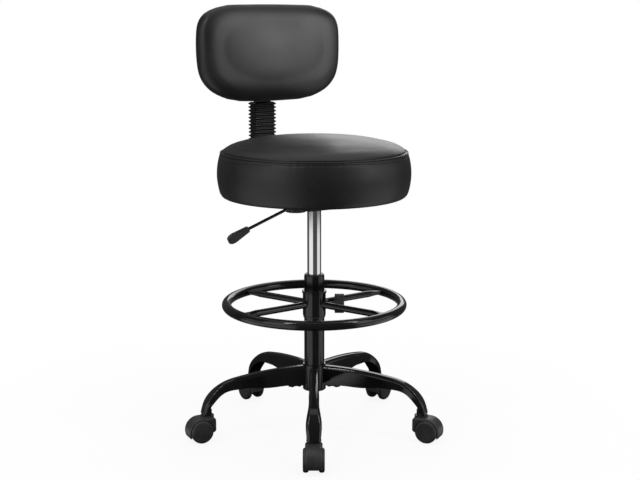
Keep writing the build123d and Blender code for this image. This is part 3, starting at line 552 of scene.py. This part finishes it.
def pick(piece: bpy.types.Object) -> None:
    """Selects one piece alone and makes it active.

    Args:
        piece: The piece.
    """
    deselect()
    piece.select_set(True)
    bpy.context.view_layer.objects.active = piece


def edit(piece: bpy.types.Object, select_all: bool = True) -> None:
    """Opens one piece in edit mode.

    Args:
        piece: The piece.
        select_all: Whether all of it is selected, or nothing.
    """
    pick(piece)
    bpy.ops.object.mode_set(mode="EDIT")
    bpy.ops.mesh.select_all(action="SELECT" if select_all else "DESELECT")


def select_faces(piece: bpy.types.Object, test: Callable[[Vector, Vector], bool]) -> None:
    """Selects faces of an open piece.

    Args:
        piece: The piece, in edit mode.
        test: Says whether a face is selected, from its centre and its normal.
    """
    bpy.ops.mesh.select_mode(type="FACE")
    bpy.ops.mesh.select_all(action="DESELECT")
    bpy.ops.object.mode_set(mode="OBJECT")
    for face in piece.data.polygons:
        face.select = test(face.center, face.normal)
    bpy.ops.object.mode_set(mode="EDIT")


def apply_modifier(piece: bpy.types.Object, kind: str, **settings: Any) -> None:
    """Adds a modifier and applies it.

    Args:
        piece: The piece.
        kind: Blender's name of the modifier type.
        settings: Properties set on the modifier.
    """
    pick(piece)
    added = piece.modifiers.new(kind.lower(), kind)
    for key, value in settings.items():
        setattr(added, key, value)
    bpy.ops.object.modifier_apply(modifier=added.name)


def settle(piece: bpy.types.Object, name: str, smooth_angle: float = 40.0) -> bpy.types.Object:
    """Names a piece, puts its place into its mesh and shades it.

    Args:
        piece: The finished piece.
        name: Its name.
        smooth_angle: Edges sharper than this many degrees stay sharp.

    Returns:
        The same piece.
    """
    pick(piece)
    bpy.ops.object.transform_apply(location=True, rotation=True, scale=True)
    bpy.ops.object.shade_smooth_by_angle(angle=math.radians(smooth_angle))
    piece.name = name
    piece.data.name = name
    LOG.info("piece %s: %d faces", name, len(piece.data.polygons))
    return piece


def point_rows(piece: bpy.types.Object, kind: str) -> np.ndarray:
    """Reads three numbers for each point of a piece.

    Args:
        piece: The piece.
        kind: Blender's name of what is read.

    Returns:
        One row for each point.
    """
    rows = np.empty(len(piece.data.vertices) * 3, np.float32)
    piece.data.vertices.foreach_get(kind, rows)
    return rows.reshape(-1, 3).astype(float)


def coordinates(piece: bpy.types.Object) -> np.ndarray:
    """Returns the points of a piece as rows."""
    return point_rows(piece, "co")


def set_coordinates(piece: bpy.types.Object, rows: np.ndarray) -> None:
    """Writes the points of a piece from rows."""
    piece.data.vertices.foreach_set("co", rows.astype(np.float32).ravel())
    piece.data.update()


def normals(piece: bpy.types.Object) -> np.ndarray:
    """Returns the point normals of a piece as rows."""
    return point_rows(piece, "normal")


def ease(value: np.ndarray, low: float, high: float) -> np.ndarray:
    """Returns a smooth step from 0 at low to 1 at high."""
    share = np.clip((value - low) / (high - low), 0.0, 1.0)
    return share * share * (3.0 - 2.0 * share)


def bell(value: np.ndarray, half_width: float) -> np.ndarray:
    """Returns a smooth bump of height 1 round 0."""
    return np.exp(-0.5 * (value / half_width) ** 2)


@dataclass
class StuffedPad:
    """A foam pad under a sewn cover, filled by a cloth simulation."""

    node: str
    name: str
    voxel: float = 0.005
    weld: float = 0.00002
    smooth_factor: float = 0.5
    smooth_rounds: int = 3
    shrink: float = 0.0025
    cap: float = 0.005
    pressure: float = 4.0
    frames: int = 20
    quality: int = 5
    cover_mass: float = 0.3
    stretch: float = 25.0
    bend: float = 5.0
    held_below: float = 0.05
    taut_rounds: int = 40
    fair_rounds: int = 24
    neighbour_share: float = 0.7
    slack: float = 0.0003
    swell: float = 0.0022
    fill: float = 0.9

    def build(self, loose: RowMap, crown: RowMap | None = None) -> bpy.types.Object:
        """Fills the pad's solid with a simulated cover.

        Args:
            loose: Gives how free each point is, from 0 where it is held to 1.
            crown: Gives the points of the crowned foam from those of the solid, or None for no crown.

        Returns:
            The pad as a closed mesh.
        """
        pad = bpy.data.objects.new(self.name, FRAME_NODES[self.node].data.copy())
        bpy.context.scene.collection.objects.link(pad)
        edit(pad)
        bpy.ops.mesh.remove_doubles(threshold=self.weld)
        bpy.ops.mesh.normals_make_consistent(inside=False)
        deselect()
        apply_modifier(pad, "REMESH", mode="VOXEL", voxel_size=self.voxel)
        apply_modifier(pad, "SMOOTH", factor=self.smooth_factor, iterations=self.smooth_rounds)
        rest = coordinates(pad)
        free = loose(rest)
        if crown is not None:
            rest = self._faired(pad, crown(rest), free)
            set_coordinates(pad, rest)
        outward = normals(pad)
        start = rest - outward * (self.shrink * free)[:, None]
        set_coordinates(pad, start)
        self._inflate(pad, free)
        moved = coordinates(pad) - start
        reach = np.linalg.norm(moved, axis=1)
        limit = self.cap * free
        share = np.minimum(1.0, limit / np.maximum(reach, TINY))
        filled = start + self._evened(pad, moved * share[:, None], self.taut_rounds)
        out = np.sum((filled - rest) * outward, axis=1)
        back = np.clip(out, -self.slack * free, self.swell * free) - out
        set_coordinates(pad, filled + outward * back[:, None])
        apply_modifier(pad, "SUBSURF", levels=1, render_levels=1)
        return pad

    def _faired(self, pad: bpy.types.Object, rows: np.ndarray, free: np.ndarray) -> np.ndarray:
        """Evens out small ridges where the cover is free, and keeps the form.

        Args:
            pad: The pad, for its edges.
            rows: Its points.
            free: How free each point is, from 0 to 1.

        Returns:
            The evened points.
        """
        once = self._evened(pad, rows, self.fair_rounds)
        twice = self._evened(pad, once, self.fair_rounds)
        return rows + (2.0 * once - twice - rows) * free[:, None]

    def _evened(self, pad: bpy.types.Object, moves: np.ndarray, rounds: int) -> np.ndarray:
        """Averages moves with their neighbours, as a taut cover spreads them.

        Args:
            pad: The pad, for its edges.
            moves: One row for each point.
            rounds: How many times they are averaged.

        Returns:
            The averaged rows.
        """
        ends = np.empty(len(pad.data.edges) * 2, np.int32)
        pad.data.edges.foreach_get("vertices", ends)
        first, second = ends[0::2], ends[1::2]
        count = np.bincount(ends, minlength=len(moves)).astype(float)[:, None]
        for _ in range(rounds):
            total = np.zeros_like(moves)
            np.add.at(total, first, moves[second])
            np.add.at(total, second, moves[first])
            mean = total / np.maximum(count, 1.0)
            moves = (1.0 - self.neighbour_share) * moves + self.neighbour_share * mean
        return moves

    def _inflate(self, pad: bpy.types.Object, free: np.ndarray) -> None:
        """Runs the cloth simulation and leaves its result in the mesh.

        Args:
            pad: The pad, at the shape that it swells from.
            free: How free each point is, from 0 to 1.
        """
        held = pad.vertex_groups.new(name="held")
        for index in np.nonzero(free < self.held_below)[0]:
            held.add([int(index)], 1.0, "REPLACE")
        pick(pad)
        cloth = pad.modifiers.new("cover", "CLOTH")
        cover = cloth.settings
        cover.quality = self.quality
        cover.mass = self.cover_mass
        cover.tension_stiffness = self.stretch
        cover.compression_stiffness = self.stretch
        cover.shear_stiffness = self.bend
        cover.bending_stiffness = self.bend
        cover.use_pressure = True
        cover.uniform_pressure_force = self.pressure
        cover.effector_weights.gravity = 0.0
        cover.vertex_group_mass = "held"
        cloth.point_cache.frame_start = 1
        cloth.point_cache.frame_end = self.frames
        for frame_number in range(1, self.frames + 1):
            bpy.context.scene.frame_set(frame_number)
        bpy.ops.object.modifier_apply(modifier=cloth.name)
        bpy.context.scene.frame_set(1)
        pad.vertex_groups.clear()


@dataclass
class SeatAssembly:
    """Round seat: stuffed cushion with its seam, welt and topstitch, board, plate and column top."""

    board_radius: float = 0.166
    pocket_fade: Range = (0.004, 0.016)
    held_top: float = 0.509
    held_fade: float = 0.014
    crease_height: float = 0.5722
    crease_depth: float = 0.0026
    crease_half_width: float = 0.0011
    band_drop: float = 0.0034
    band_lift: float = 0.0010
    band_half_width: float = 0.0017
    stitch_drop: float = 0.0068
    stitch_groove: float = 0.0006
    groove_half_width: float = 0.0008
    stitch_length: float = 0.0042
    stitch_radius: float = 0.00045
    stitch_pitch: float = 0.0062
    stitch_end: Point = (0.6, 1.12, 0.6)
    stitch_sides: int = 6
    sew_half_height: float = 0.0076
    sew_cuts: int = 2
    side_radius: float = 0.165
    side_fade: Range = (0.15, 0.17)
    pucker_depth: float = 0.0002
    pucker_half_width: float = 0.008
    pucker_waves: Range = (47.0, 31.0)
    pucker_shift: float = 0.7
    probe_half_height: float = 0.0015
    welt_radius: float = 0.0012
    welt_drop: float = 0.35
    welt_sink: float = 0.7
    welt_flatness: float = 0.8
    welt_segments: int = 256
    welt_sides: int = 10
    pad: StuffedPad = field(default_factory=lambda: StuffedPad("seat_cushion", "seat_pad", voxel=0.0055))

    def build(self, wardrobe: Wardrobe) -> None:
        """Builds the cushion and its seam and dresses the seat.

        Args:
            wardrobe: The finishes.
        """
        pad = self.pad.build(self._loose)
        self._sew(pad)
        pad = settle(pad, "seat_pad", ALL_SMOOTH)
        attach(pad, "seat")
        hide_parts("seat_cushion")
        wardrobe.dress(pad, UPHOLSTERY)
        welt = self._welt(self._surface_radius(pad, self.crease_height - self.band_drop))
        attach(welt, "seat")
        wardrobe.dress(welt, UPHOLSTERY)
        thread = self._topstitch(self._surface_radius(pad, self.crease_height - self.stitch_drop))
        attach(thread, "seat")
        wardrobe.dress(thread, THREAD)
        self._dress_nodes(wardrobe)

    def _loose(self, rows: np.ndarray) -> np.ndarray:
        """Holds the points round the board's pocket and frees the rest of the cover.

        Args:
            rows: The pad's points.

        Returns:
            How free each point is, from 0 to 1.
        """
        radius = np.hypot(rows[:, 0], rows[:, 1])
        under = 1.0 - ease(rows[:, 2], self.held_top, self.held_top + self.held_fade)
        near, far = (self.board_radius + reach for reach in self.pocket_fade)
        inside = 1.0 - ease(radius, near, far)
        return 1.0 - under * inside

    def _sew(self, pad: bpy.types.Object) -> None:
        """Draws the side seam in, lifts the sewn band under it and puckers the cover along it.

        Args:
            pad: The filled pad.
        """
        edit(pad, False)
        middle = self.crease_height - self.band_drop

        def beside_seam(centre: Vector, normal: Vector) -> bool:
            """Tells the faces of the side that lie along the seam."""
            level = abs(centre.z - middle) < self.sew_half_height
            return level and math.hypot(centre.x, centre.y) > self.side_radius

        select_faces(pad, beside_seam)
        bpy.ops.mesh.subdivide(number_cuts=self.sew_cuts, smoothness=0.0)
        deselect()
        rows = coordinates(pad)
        radius = np.hypot(rows[:, 0], rows[:, 1])
        turn = np.arctan2(rows[:, 1], rows[:, 0])
        side = ease(radius, *self.side_fade)
        fall = self.crease_height - rows[:, 2]
        draw = self.crease_depth * bell(fall, self.crease_half_width)
        draw -= self.band_lift * bell(fall - self.band_drop, self.band_half_width)
        draw += self.stitch_groove * bell(fall - self.stitch_drop, self.groove_half_width)
        first, second = self.pucker_waves
        pucker = np.sin(turn * first) * np.sin(turn * second + self.pucker_shift)
        draw += self.pucker_depth * pucker * bell(fall - self.band_drop, self.pucker_half_width)
        scale = 1.0 - draw * side / np.maximum(radius, TINY)
        rows[:, 0] *= scale
        rows[:, 1] *= scale
        set_coordinates(pad, rows)

    def _surface_radius(self, pad: bpy.types.Object, height: float) -> float:
        """Measures the pad's mean outer radius at one height.

        Args:
            pad: The filled pad.
            height: The height above the floor.

        Returns:
            The radius.
        """
        rows = coordinates(pad)
        radius = np.hypot(rows[:, 0], rows[:, 1])
        band = (np.abs(rows[:, 2] - height) < self.probe_half_height) & (radius > self.side_fade[0])
        return float(radius[band].mean())

    def _welt(self, reach: float) -> bpy.types.Object:
        """Builds the narrow folded edge of the top panel that stands over the sewn band.

        Args:
            reach: The pad's radius at the band.

        Returns:
            The welt.
        """
        height = self.crease_height - self.band_drop * self.welt_drop
        deselect()
        bpy.ops.mesh.primitive_torus_add(
            major_segments=self.welt_segments, minor_segments=self.welt_sides, location=(0.0, 0.0, height),
            major_radius=reach - self.welt_radius * self.welt_sink, minor_radius=self.welt_radius,
        )
        welt = bpy.context.object
        edit(welt)
        bpy.ops.transform.resize(value=(1.0, 1.0, self.welt_flatness), center_override=(0.0, 0.0, height))
        deselect()
        return settle(welt, "seat_welt", ALL_SMOOTH)

    def _topstitch(self, reach: float) -> bpy.types.Object:
        """Builds the row of stitches under the seam.

        Args:
            reach: The pad's radius at the stitches.

        Returns:
            All stitches as one piece.
        """
        deselect()
        height = self.crease_height - self.stitch_drop
        bpy.ops.mesh.primitive_cylinder_add(
            vertices=self.stitch_sides, radius=self.stitch_radius, depth=self.stitch_length,
            location=(reach, 0.0, height), rotation=(math.pi / 2.0, 0.0, 0.0),
        )
        thread = bpy.context.object
        pick(thread)
        bpy.ops.object.transform_apply(location=True, rotation=True, scale=True)
        half = self.stitch_length / 2.0
        edit(thread, False)
        select_faces(thread, lambda centre, normal: abs(abs(centre.y) - half) < SAME_PLACE)
        bpy.ops.mesh.extrude_region_move(TRANSFORM_OT_translate={"value": (-self.stitch_radius, 0.0, 0.0)})
        sunk = (reach - self.stitch_radius, 0.0, height)
        bpy.ops.transform.resize(value=self.stitch_end, center_override=sunk)
        bpy.ops.mesh.select_all(action="SELECT")
        count = round(2.0 * math.pi * reach / self.stitch_pitch)
        bpy.ops.mesh.spin(
            dupli=True, steps=count, angle=2.0 * math.pi, center=(0.0, 0.0, 0.0), axis=(0.0, 0.0, 1.0),
        )
        bpy.ops.mesh.select_all(action="SELECT")
        bpy.ops.mesh.remove_doubles(threshold=SAME_PLACE)
        bpy.ops.mesh.normals_make_consistent(inside=False)
        deselect()
        return settle(thread, "seat_topstitch")

    def _dress_nodes(self, wardrobe: Wardrobe) -> None:
        """Puts finishes on the seat's own hardware.

        Args:
            wardrobe: The finishes.
        """
        wardrobe.dress_nodes(GLOSS_PAINT, "seat_plate", "bar_guide")
        wardrobe.dress_nodes(ZINC, "seat_screws", "lever_pin", "valve_button")
        wardrobe.dress_nodes(LINING, "seat_board")


@dataclass
class BackAssembly:
    """Backrest: stuffed cushion, board, sleeve bracket, bar, bellows and knobs."""

    board_front: float = 0.2065
    held_fade: float = 0.012
    bar_y: float = 0.2214
    bellows_foot: float = 0.512
    bellows_top: float = 0.6545
    rib_count: int = 19
    rib_steps: tuple[tuple[float, int], ...] = ((0.16, 0), (0.18, 1), (0.32, 0), (0.18, -1), (0.16, 0))
    bellows_width: float = 0.052
    bellows_thickness: float = 0.0315
    bellows_corner: float = 0.0048
    corner_segments: int = 4
    rib_depth: float = 0.0034
    bellows_wall: float = 0.0016
    bellows_smooth: float = 60.0
    face_y: float = 0.165
    face_fade: float = 0.030
    face_half_width: float = 0.165
    face_foot: float = 0.657
    face_top: float = 0.858
    crown_height: float = 0.722
    crown: float = 0.011
    pad: StuffedPad = field(default_factory=lambda: StuffedPad("back_cushion", "back_pad"))

    def build(self, wardrobe: Wardrobe) -> None:
        """Builds the soft pieces and dresses the backrest.

        Args:
            wardrobe: The finishes.
        """
        pad = self.pad.build(self._loose, self._crowned)
        pad = settle(pad, "back_pad", ALL_SMOOTH)
        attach(pad, "backrest")
        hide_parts("back_cushion")
        wardrobe.dress(pad, UPHOLSTERY)
        bellows = self._bellows()
        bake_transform(bellows)
        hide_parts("bellows")
        wardrobe.dress(bellows, RUBBER)
        wardrobe.dress_nodes(GLOSS_PAINT, "back_bar", "back_bracket")
        wardrobe.dress_nodes(KNOB_PLASTIC, "depth_knob", "height_knob")
        wardrobe.dress_nodes(ZINC, "back_screws")
        wardrobe.dress_nodes(LINING, "back_board")

    def _loose(self, rows: np.ndarray) -> np.ndarray:
        """Points round the board's pocket are held, the front of the cover is free."""
        return 1.0 - ease(rows[:, 1], self.board_front - self.held_fade, self.board_front)

    def _crowned(self, rows: np.ndarray) -> np.ndarray:
        """Crowns the front face, fullest low down at the small of the back.

        Args:
            rows: The pad's points.

        Returns:
            The crowned points.
        """
        rows = rows.copy()
        front = 1.0 - ease(rows[:, 1], self.face_y, self.face_y + self.face_fade)
        across = np.clip(1.0 - (rows[:, 0] / self.face_half_width) ** 2, 0.0, 1.0)
        above = (rows[:, 2] - self.crown_height) / (self.face_top - self.crown_height)
        below = (self.crown_height - rows[:, 2]) / (self.crown_height - self.face_foot)
        up = np.clip(1.0 - np.maximum(above, below) ** 2, 0.0, 1.0)
        rows[:, 1] -= self.crown * front * across * up
        return rows

    def _bellows(self) -> bpy.types.Object:
        """Builds the ribbed sleeve from a rounded plate drawn up rib by rib.

        Returns:
            The sleeve.
        """
        deselect()
        bpy.ops.mesh.primitive_plane_add(size=1.0, location=(0.0, self.bar_y, self.bellows_foot))
        sleeve = bpy.context.object
        inner_width = self.bellows_width - 2 * self.rib_depth
        inner_thickness = self.bellows_thickness - 2 * self.rib_depth
        sleeve.scale = (inner_width, inner_thickness, 1.0)
        bpy.ops.object.transform_apply(location=True, rotation=True, scale=True)
        edit(sleeve)
        inner_corner = self.bellows_corner - self.rib_depth
        bpy.ops.mesh.bevel(offset=inner_corner, segments=self.corner_segments, affect="VERTICES")
        pitch = (self.bellows_top - self.bellows_foot) / self.rib_count
        wide = self.bellows_width / inner_width
        deep = self.bellows_thickness / inner_thickness
        centre_line = (0.0, self.bar_y, 0.0)
        bpy.ops.mesh.select_all(action="SELECT")
        for _ in range(self.rib_count):
            for rise, out in self.rib_steps:
                bpy.ops.mesh.extrude_region_move(TRANSFORM_OT_translate={"value": (0.0, 0.0, rise * pitch)})
                if out:
                    bpy.ops.transform.resize(value=(wide**out, deep**out, 1.0), center_override=centre_line)
        bpy.ops.mesh.select_all(action="SELECT")
        bpy.ops.mesh.normals_make_consistent(inside=False)
        middle = 0.5 * (self.bellows_foot + self.bellows_top)
        half = 0.5 * (self.bellows_top - self.bellows_foot)

        def is_end(centre: Vector, normal: Vector) -> bool:
            """Tells the two flat ends from the ribs."""
            return abs(abs(centre.z - middle) - half) < SAME_PLACE and abs(normal.z) > UPRIGHT

        select_faces(sleeve, is_end)
        bpy.ops.mesh.delete(type="FACE")
        deselect()
        apply_modifier(sleeve, "SOLIDIFY", thickness=self.bellows_wall, offset=-1.0)
        apply_modifier(sleeve, "SUBSURF", levels=1, render_levels=1)
        return settle(sleeve, "bellows_sleeve", self.bellows_smooth)


@dataclass
class LeverAssembly:
    """Height lever: bent rod and its paddle handle."""

    def build(self, wardrobe: Wardrobe) -> None:
        """Dresses the rod and the handle."""
        wardrobe.dress_nodes(GLOSS_PAINT, "lever_rod")
        wardrobe.dress_nodes(KNOB_PLASTIC, "lever_handle")


@dataclass
class ColumnAssembly:
    """Gas column: painted tube, bush, chrome cylinder and the rod inside."""

    def build(self, wardrobe: Wardrobe) -> None:
        """Dresses the column's pieces.

        Args:
            wardrobe: The finishes.
        """
        wardrobe.dress_nodes(GLOSS_PAINT, "column_tube")
        wardrobe.dress_nodes(CHROME, "chrome_cylinder")
        wardrobe.dress_nodes(ZINC, "piston_rod", "thrust_bearing", "retaining_clip")
        wardrobe.dress_nodes(NYLON, "column_bush", "cylinder_gland")
        wardrobe.dress_nodes(RUBBER, "rubber_bumper")


@dataclass
class RingAssembly:
    """Foot ring: bent tube, spokes, hub, bush and clamp."""

    def build(self, wardrobe: Wardrobe) -> None:
        """Dresses the foot ring's pieces.

        Args:
            wardrobe: The finishes.
        """
        wardrobe.dress_nodes(GLOSS_PAINT, "foot_ring", "ring_spokes", "ring_hub")
        wardrobe.dress_nodes(NYLON, "ring_bush", "clamp_pad")
        wardrobe.dress_nodes(KNOB_PLASTIC, "clamp_knob")


@dataclass
class BaseAssembly:
    """Star base: hub, pressed legs, sockets, bolts and twin-wheel casters."""

    legs: int = 5

    def build(self, wardrobe: Wardrobe) -> None:
        """Dresses the base and the casters.

        Args:
            wardrobe: The finishes.
        """
        wardrobe.dress_nodes(GLOSS_PAINT, "base_hub", "plate_bolts")
        wardrobe.dress_nodes(DARK_STEEL, "leg_sockets", "caster_stems")
        for number in range(1, self.legs + 1):
            wardrobe.dress_nodes(GLOSS_PAINT, f"base_leg_{number}")
            wardrobe.dress_nodes(ZINC, f"caster_axle_{number}")
            for node in ("caster_hood", "wheel_left", "wheel_right"):
                wardrobe.dress_nodes(CASTER_PLASTIC, f"{node}_{number}")


@dataclass(frozen=True)
class Lamp:
    """One soft lamp: its place, size, strength in watts and, where it is flagged, the pieces it lights."""

    name: str
    place: Point
    size: Range
    power: float
    only: tuple[str, ...] = ()


@dataclass
class Studio:
    """Plain pale floor, soft light and the camera of the photograph."""

    camera_place: Point = (-1.1681, -2.0463, 0.8456)
    camera_turn: Point = (79.14, 0.0, -30.0)
    lens: float = 67.56
    sensor: float = 36.0
    floor_size: float = 40.0
    floor_dim: Colour = (0.10, 0.10, 0.10)
    floor_pale: Colour = (0.95, 0.95, 0.95)
    shadow_reach: Range = (0.35, 0.95)
    shadow_white: float = 0.90
    fill_light: float = 0.50
    toward_axis: Point = (-0.5, -0.866, 0.0)
    right_axis: Point = (0.866, -0.5, 0.0)
    dim_gloss: float = 0.10
    right_panel: float = 0.9
    far_panel: float = 1.3
    panel_floor: Range = (0.26, 0.34)
    left_far: float = 0.12
    panel_end: Range = (2.2, 2.8)
    far_floor: Range = (7.0, 12.0)
    left_edges: tuple[float, ...] = (-1.70, -1.50, -0.42, -0.30)
    right_edges: tuple[float, ...] = (0.80, 0.95, 1.80, 1.95)
    panel_top: Range = (0.12, 0.45)
    aim: Point = (0.0, 0.0, 0.5)
    lamps: tuple[Lamp, ...] = (
        Lamp("left_softbox", (-2.15, -0.45, 1.25), (1.2, 2.0), 6.0),
        Lamp("right_softbox", (1.35, -1.95, 1.50), (0.9, 1.6), 6.0),
        Lamp("top_softbox", (0.2, 0.4, 2.6), (2.8, 2.8), 16.0),
        Lamp("rear_softbox", (1.55, 1.7, 1.35), (1.3, 1.2), 11.0),
        Lamp("left_strip", (-1.40, -0.55, 2.00), (0.12, 0.90), 6.0),
        Lamp("right_strip", (0.75, -1.35, 2.00), (0.12, 0.90), 6.0),
        Lamp("back_softbox", (1.25, -2.00, 1.15), (1.5, 1.3), 25.0, ("back_pad",)),
    )

    def build(self) -> None:
        """Sets up everything round the chair."""
        bpy.context.scene.view_settings.view_transform = "Standard"
        self._floor()
        self._world()
        for lamp in self.lamps:
            self._hang(lamp)
        self._camera()

    def _panels(
        self, bench: NodeBench, direction: bpy.types.NodeSocket,
    ) -> tuple[bpy.types.NodeSocket, bpy.types.NodeSocket]:
        """Returns where gloss sees two pale panels, left and right of the camera.

        Args:
            bench: The tree that the nodes go into.
            direction: The direction from the chair.

        Returns:
            The left and the right panel, each from 0 to 1.
        """
        parts = []
        for axis in (self.right_axis, self.toward_axis):
            dot = bench.add("ShaderNodeVectorMath", {0: direction, 1: axis}, operation="DOT_PRODUCT")
            parts.append(dot.outputs["Value"])
        turn = bench.math("ARCTAN2", *parts)
        panels = []
        for edges in (self.left_edges, self.right_edges):
            rise = bench.spread(turn, *edges[:2], 0.0, 1.0)
            fall = bench.spread(turn, *edges[2:], 1.0, 0.0)
            panels.append(bench.math("MULTIPLY", rise, fall))
        return panels[0], panels[1]

    def _floor(self) -> None:
        """Lays the pale floor, which keeps the chair's shadow and is clear from below."""
        deselect()
        bpy.ops.mesh.primitive_plane_add(size=self.floor_size, location=(0.0, 0.0, 0.0))
        floor = bpy.context.object
        floor.name = "floor"
        made = bpy.data.materials.new("pale_floor")
        made.use_nodes = True
        bench = NodeBench(made.node_tree)
        path = bench.add("ShaderNodeLightPath")
        seen = path.outputs[Ray.CAMERA.value]
        shade = bench.mix(seen, self.floor_dim, self.floor_pale)
        matte = bench.add("ShaderNodeBsdfDiffuse", {"Color": shade})
        glow = bench.add("ShaderNodeEmission", {"Color": (1.0, 1.0, 1.0, 1.0), "Strength": 1.0})
        place = bench.add("ShaderNodeTexCoord").outputs["Object"]
        away = bench.add("ShaderNodeVectorMath", {0: place}, operation="LENGTH").outputs["Value"]
        plain = bench.math("MULTIPLY", seen, bench.spread(away, *self.shadow_reach, self.shadow_white, 1.0))
        left, right = self._panels(bench, place)
        near = bench.spread(away, *self.panel_end, self.right_panel, 0.0)
        reach = bench.math("MAXIMUM", near, bench.spread(away, *self.far_floor, 0.0, 1.0))
        left = bench.math("MULTIPLY", left, bench.spread(away, *self.panel_end, 1.0, self.left_far))
        both = bench.math("ADD", left, bench.math("MULTIPLY", right, reach))
        lit = bench.math("MULTIPLY", both, bench.spread(away, *self.panel_floor, 0.0, 1.0))
        share = bench.math("ADD", plain, bench.math("MULTIPLY", lit, path.outputs[Ray.GLOSSY.value]))
        blend = bench.add("ShaderNodeMixShader", {"Fac": share})
        bench.feed(blend.inputs[1], matte.outputs["BSDF"])
        bench.feed(blend.inputs[2], glow.outputs["Emission"])
        below = bench.add("ShaderNodeNewGeometry").outputs["Backfacing"]
        clear = bench.add("ShaderNodeBsdfTransparent")
        open_below = bench.add("ShaderNodeMixShader", {"Fac": below})
        bench.feed(open_below.inputs[1], blend.outputs["Shader"])
        bench.feed(open_below.inputs[2], clear.outputs["BSDF"])
        out = bench.add("ShaderNodeOutputMaterial")
        bench.feed(out.inputs["Surface"], open_below.outputs["Shader"])
        floor.data.materials.append(made)

    def _world(self) -> None:
        """Makes the surroundings: white to the camera, dim with two pale panels to gloss, a soft fill."""
        world = bpy.data.worlds.new("white_studio")
        world.use_nodes = True
        bench = NodeBench(world.node_tree)
        path = bench.add("ShaderNodeLightPath")
        direction = bench.add("ShaderNodeTexCoord").outputs["Generated"]
        up = bench.add("ShaderNodeSeparateXYZ", {"Vector": direction}).outputs["Z"]
        low = bench.spread(up, *self.panel_top, 1.0, 0.0)
        left, right = self._panels(bench, direction)
        both = bench.math("ADD", left, bench.math("MULTIPLY", right, self.far_panel))
        band = bench.math("MAXIMUM", bench.math("MULTIPLY", both, low), self.dim_gloss)
        mirrored = bench.math("MAXIMUM", path.outputs[Ray.GLOSSY.value], path.outputs[Ray.TRANSMISSION.value])
        soft = bench.mix_value(mirrored, self.fill_light, band)
        strength = bench.mix_value(path.outputs[Ray.CAMERA.value], soft, 1.0)
        sky = bench.add("ShaderNodeBackground", {"Color": (1.0, 1.0, 1.0, 1.0), "Strength": strength})
        out = bench.add("ShaderNodeOutputWorld")
        bench.feed(out.inputs["Surface"], sky.outputs["Background"])
        bpy.context.scene.world = world

    def _hang(self, lamp: Lamp) -> None:
        """Hangs one soft lamp that looks at the seat.

        Args:
            lamp: The lamp.
        """
        light = bpy.data.lights.new(lamp.name, "AREA")
        light.shape = "RECTANGLE"
        light.size, light.size_y = lamp.size
        light.energy = lamp.power
        hung = bpy.data.objects.new(lamp.name, light)
        bpy.context.scene.collection.objects.link(hung)
        hung.location = lamp.place
        look = Vector(self.aim) - Vector(lamp.place)
        hung.rotation_euler = look.to_track_quat("-Z", "Y").to_euler()
        if lamp.only:
            flag = bpy.data.collections.new(f"{lamp.name}_flag")
            for piece in lamp.only:
                flag.objects.link(bpy.data.objects[piece])
            hung.light_linking.receiver_collection = flag

    def _camera(self) -> None:
        """Puts the camera where the photograph was taken from."""
        lens = bpy.data.cameras.new("photo_camera")
        lens.lens = self.lens
        lens.sensor_width = self.sensor
        lens.sensor_fit = "HORIZONTAL"
        camera = bpy.data.objects.new("photo_camera", lens)
        bpy.context.scene.collection.objects.link(camera)
        camera.location = self.camera_place
        camera.rotation_euler = [math.radians(angle) for angle in self.camera_turn]
        bpy.context.scene.camera = camera


def main() -> None:
    """Loads the frame, builds and dresses every part of the chair and sets up the studio round it."""
    logging.basicConfig(level=logging.INFO, format="%(name)s: %(message)s")
    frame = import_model()
    deselect()
    FRAME_NODES.update(frame["nodes"])
    wardrobe = Wardrobe()
    assemblies = [
        BaseAssembly(), ColumnAssembly(), RingAssembly(), LeverAssembly(), SeatAssembly(), BackAssembly(),
    ]
    for assembly in assemblies:
        assembly.build(wardrobe)
        LOG.info("built %s", type(assembly).__name__)
    Studio().build()
    deselect()


if __name__ == "__main__":
    main()
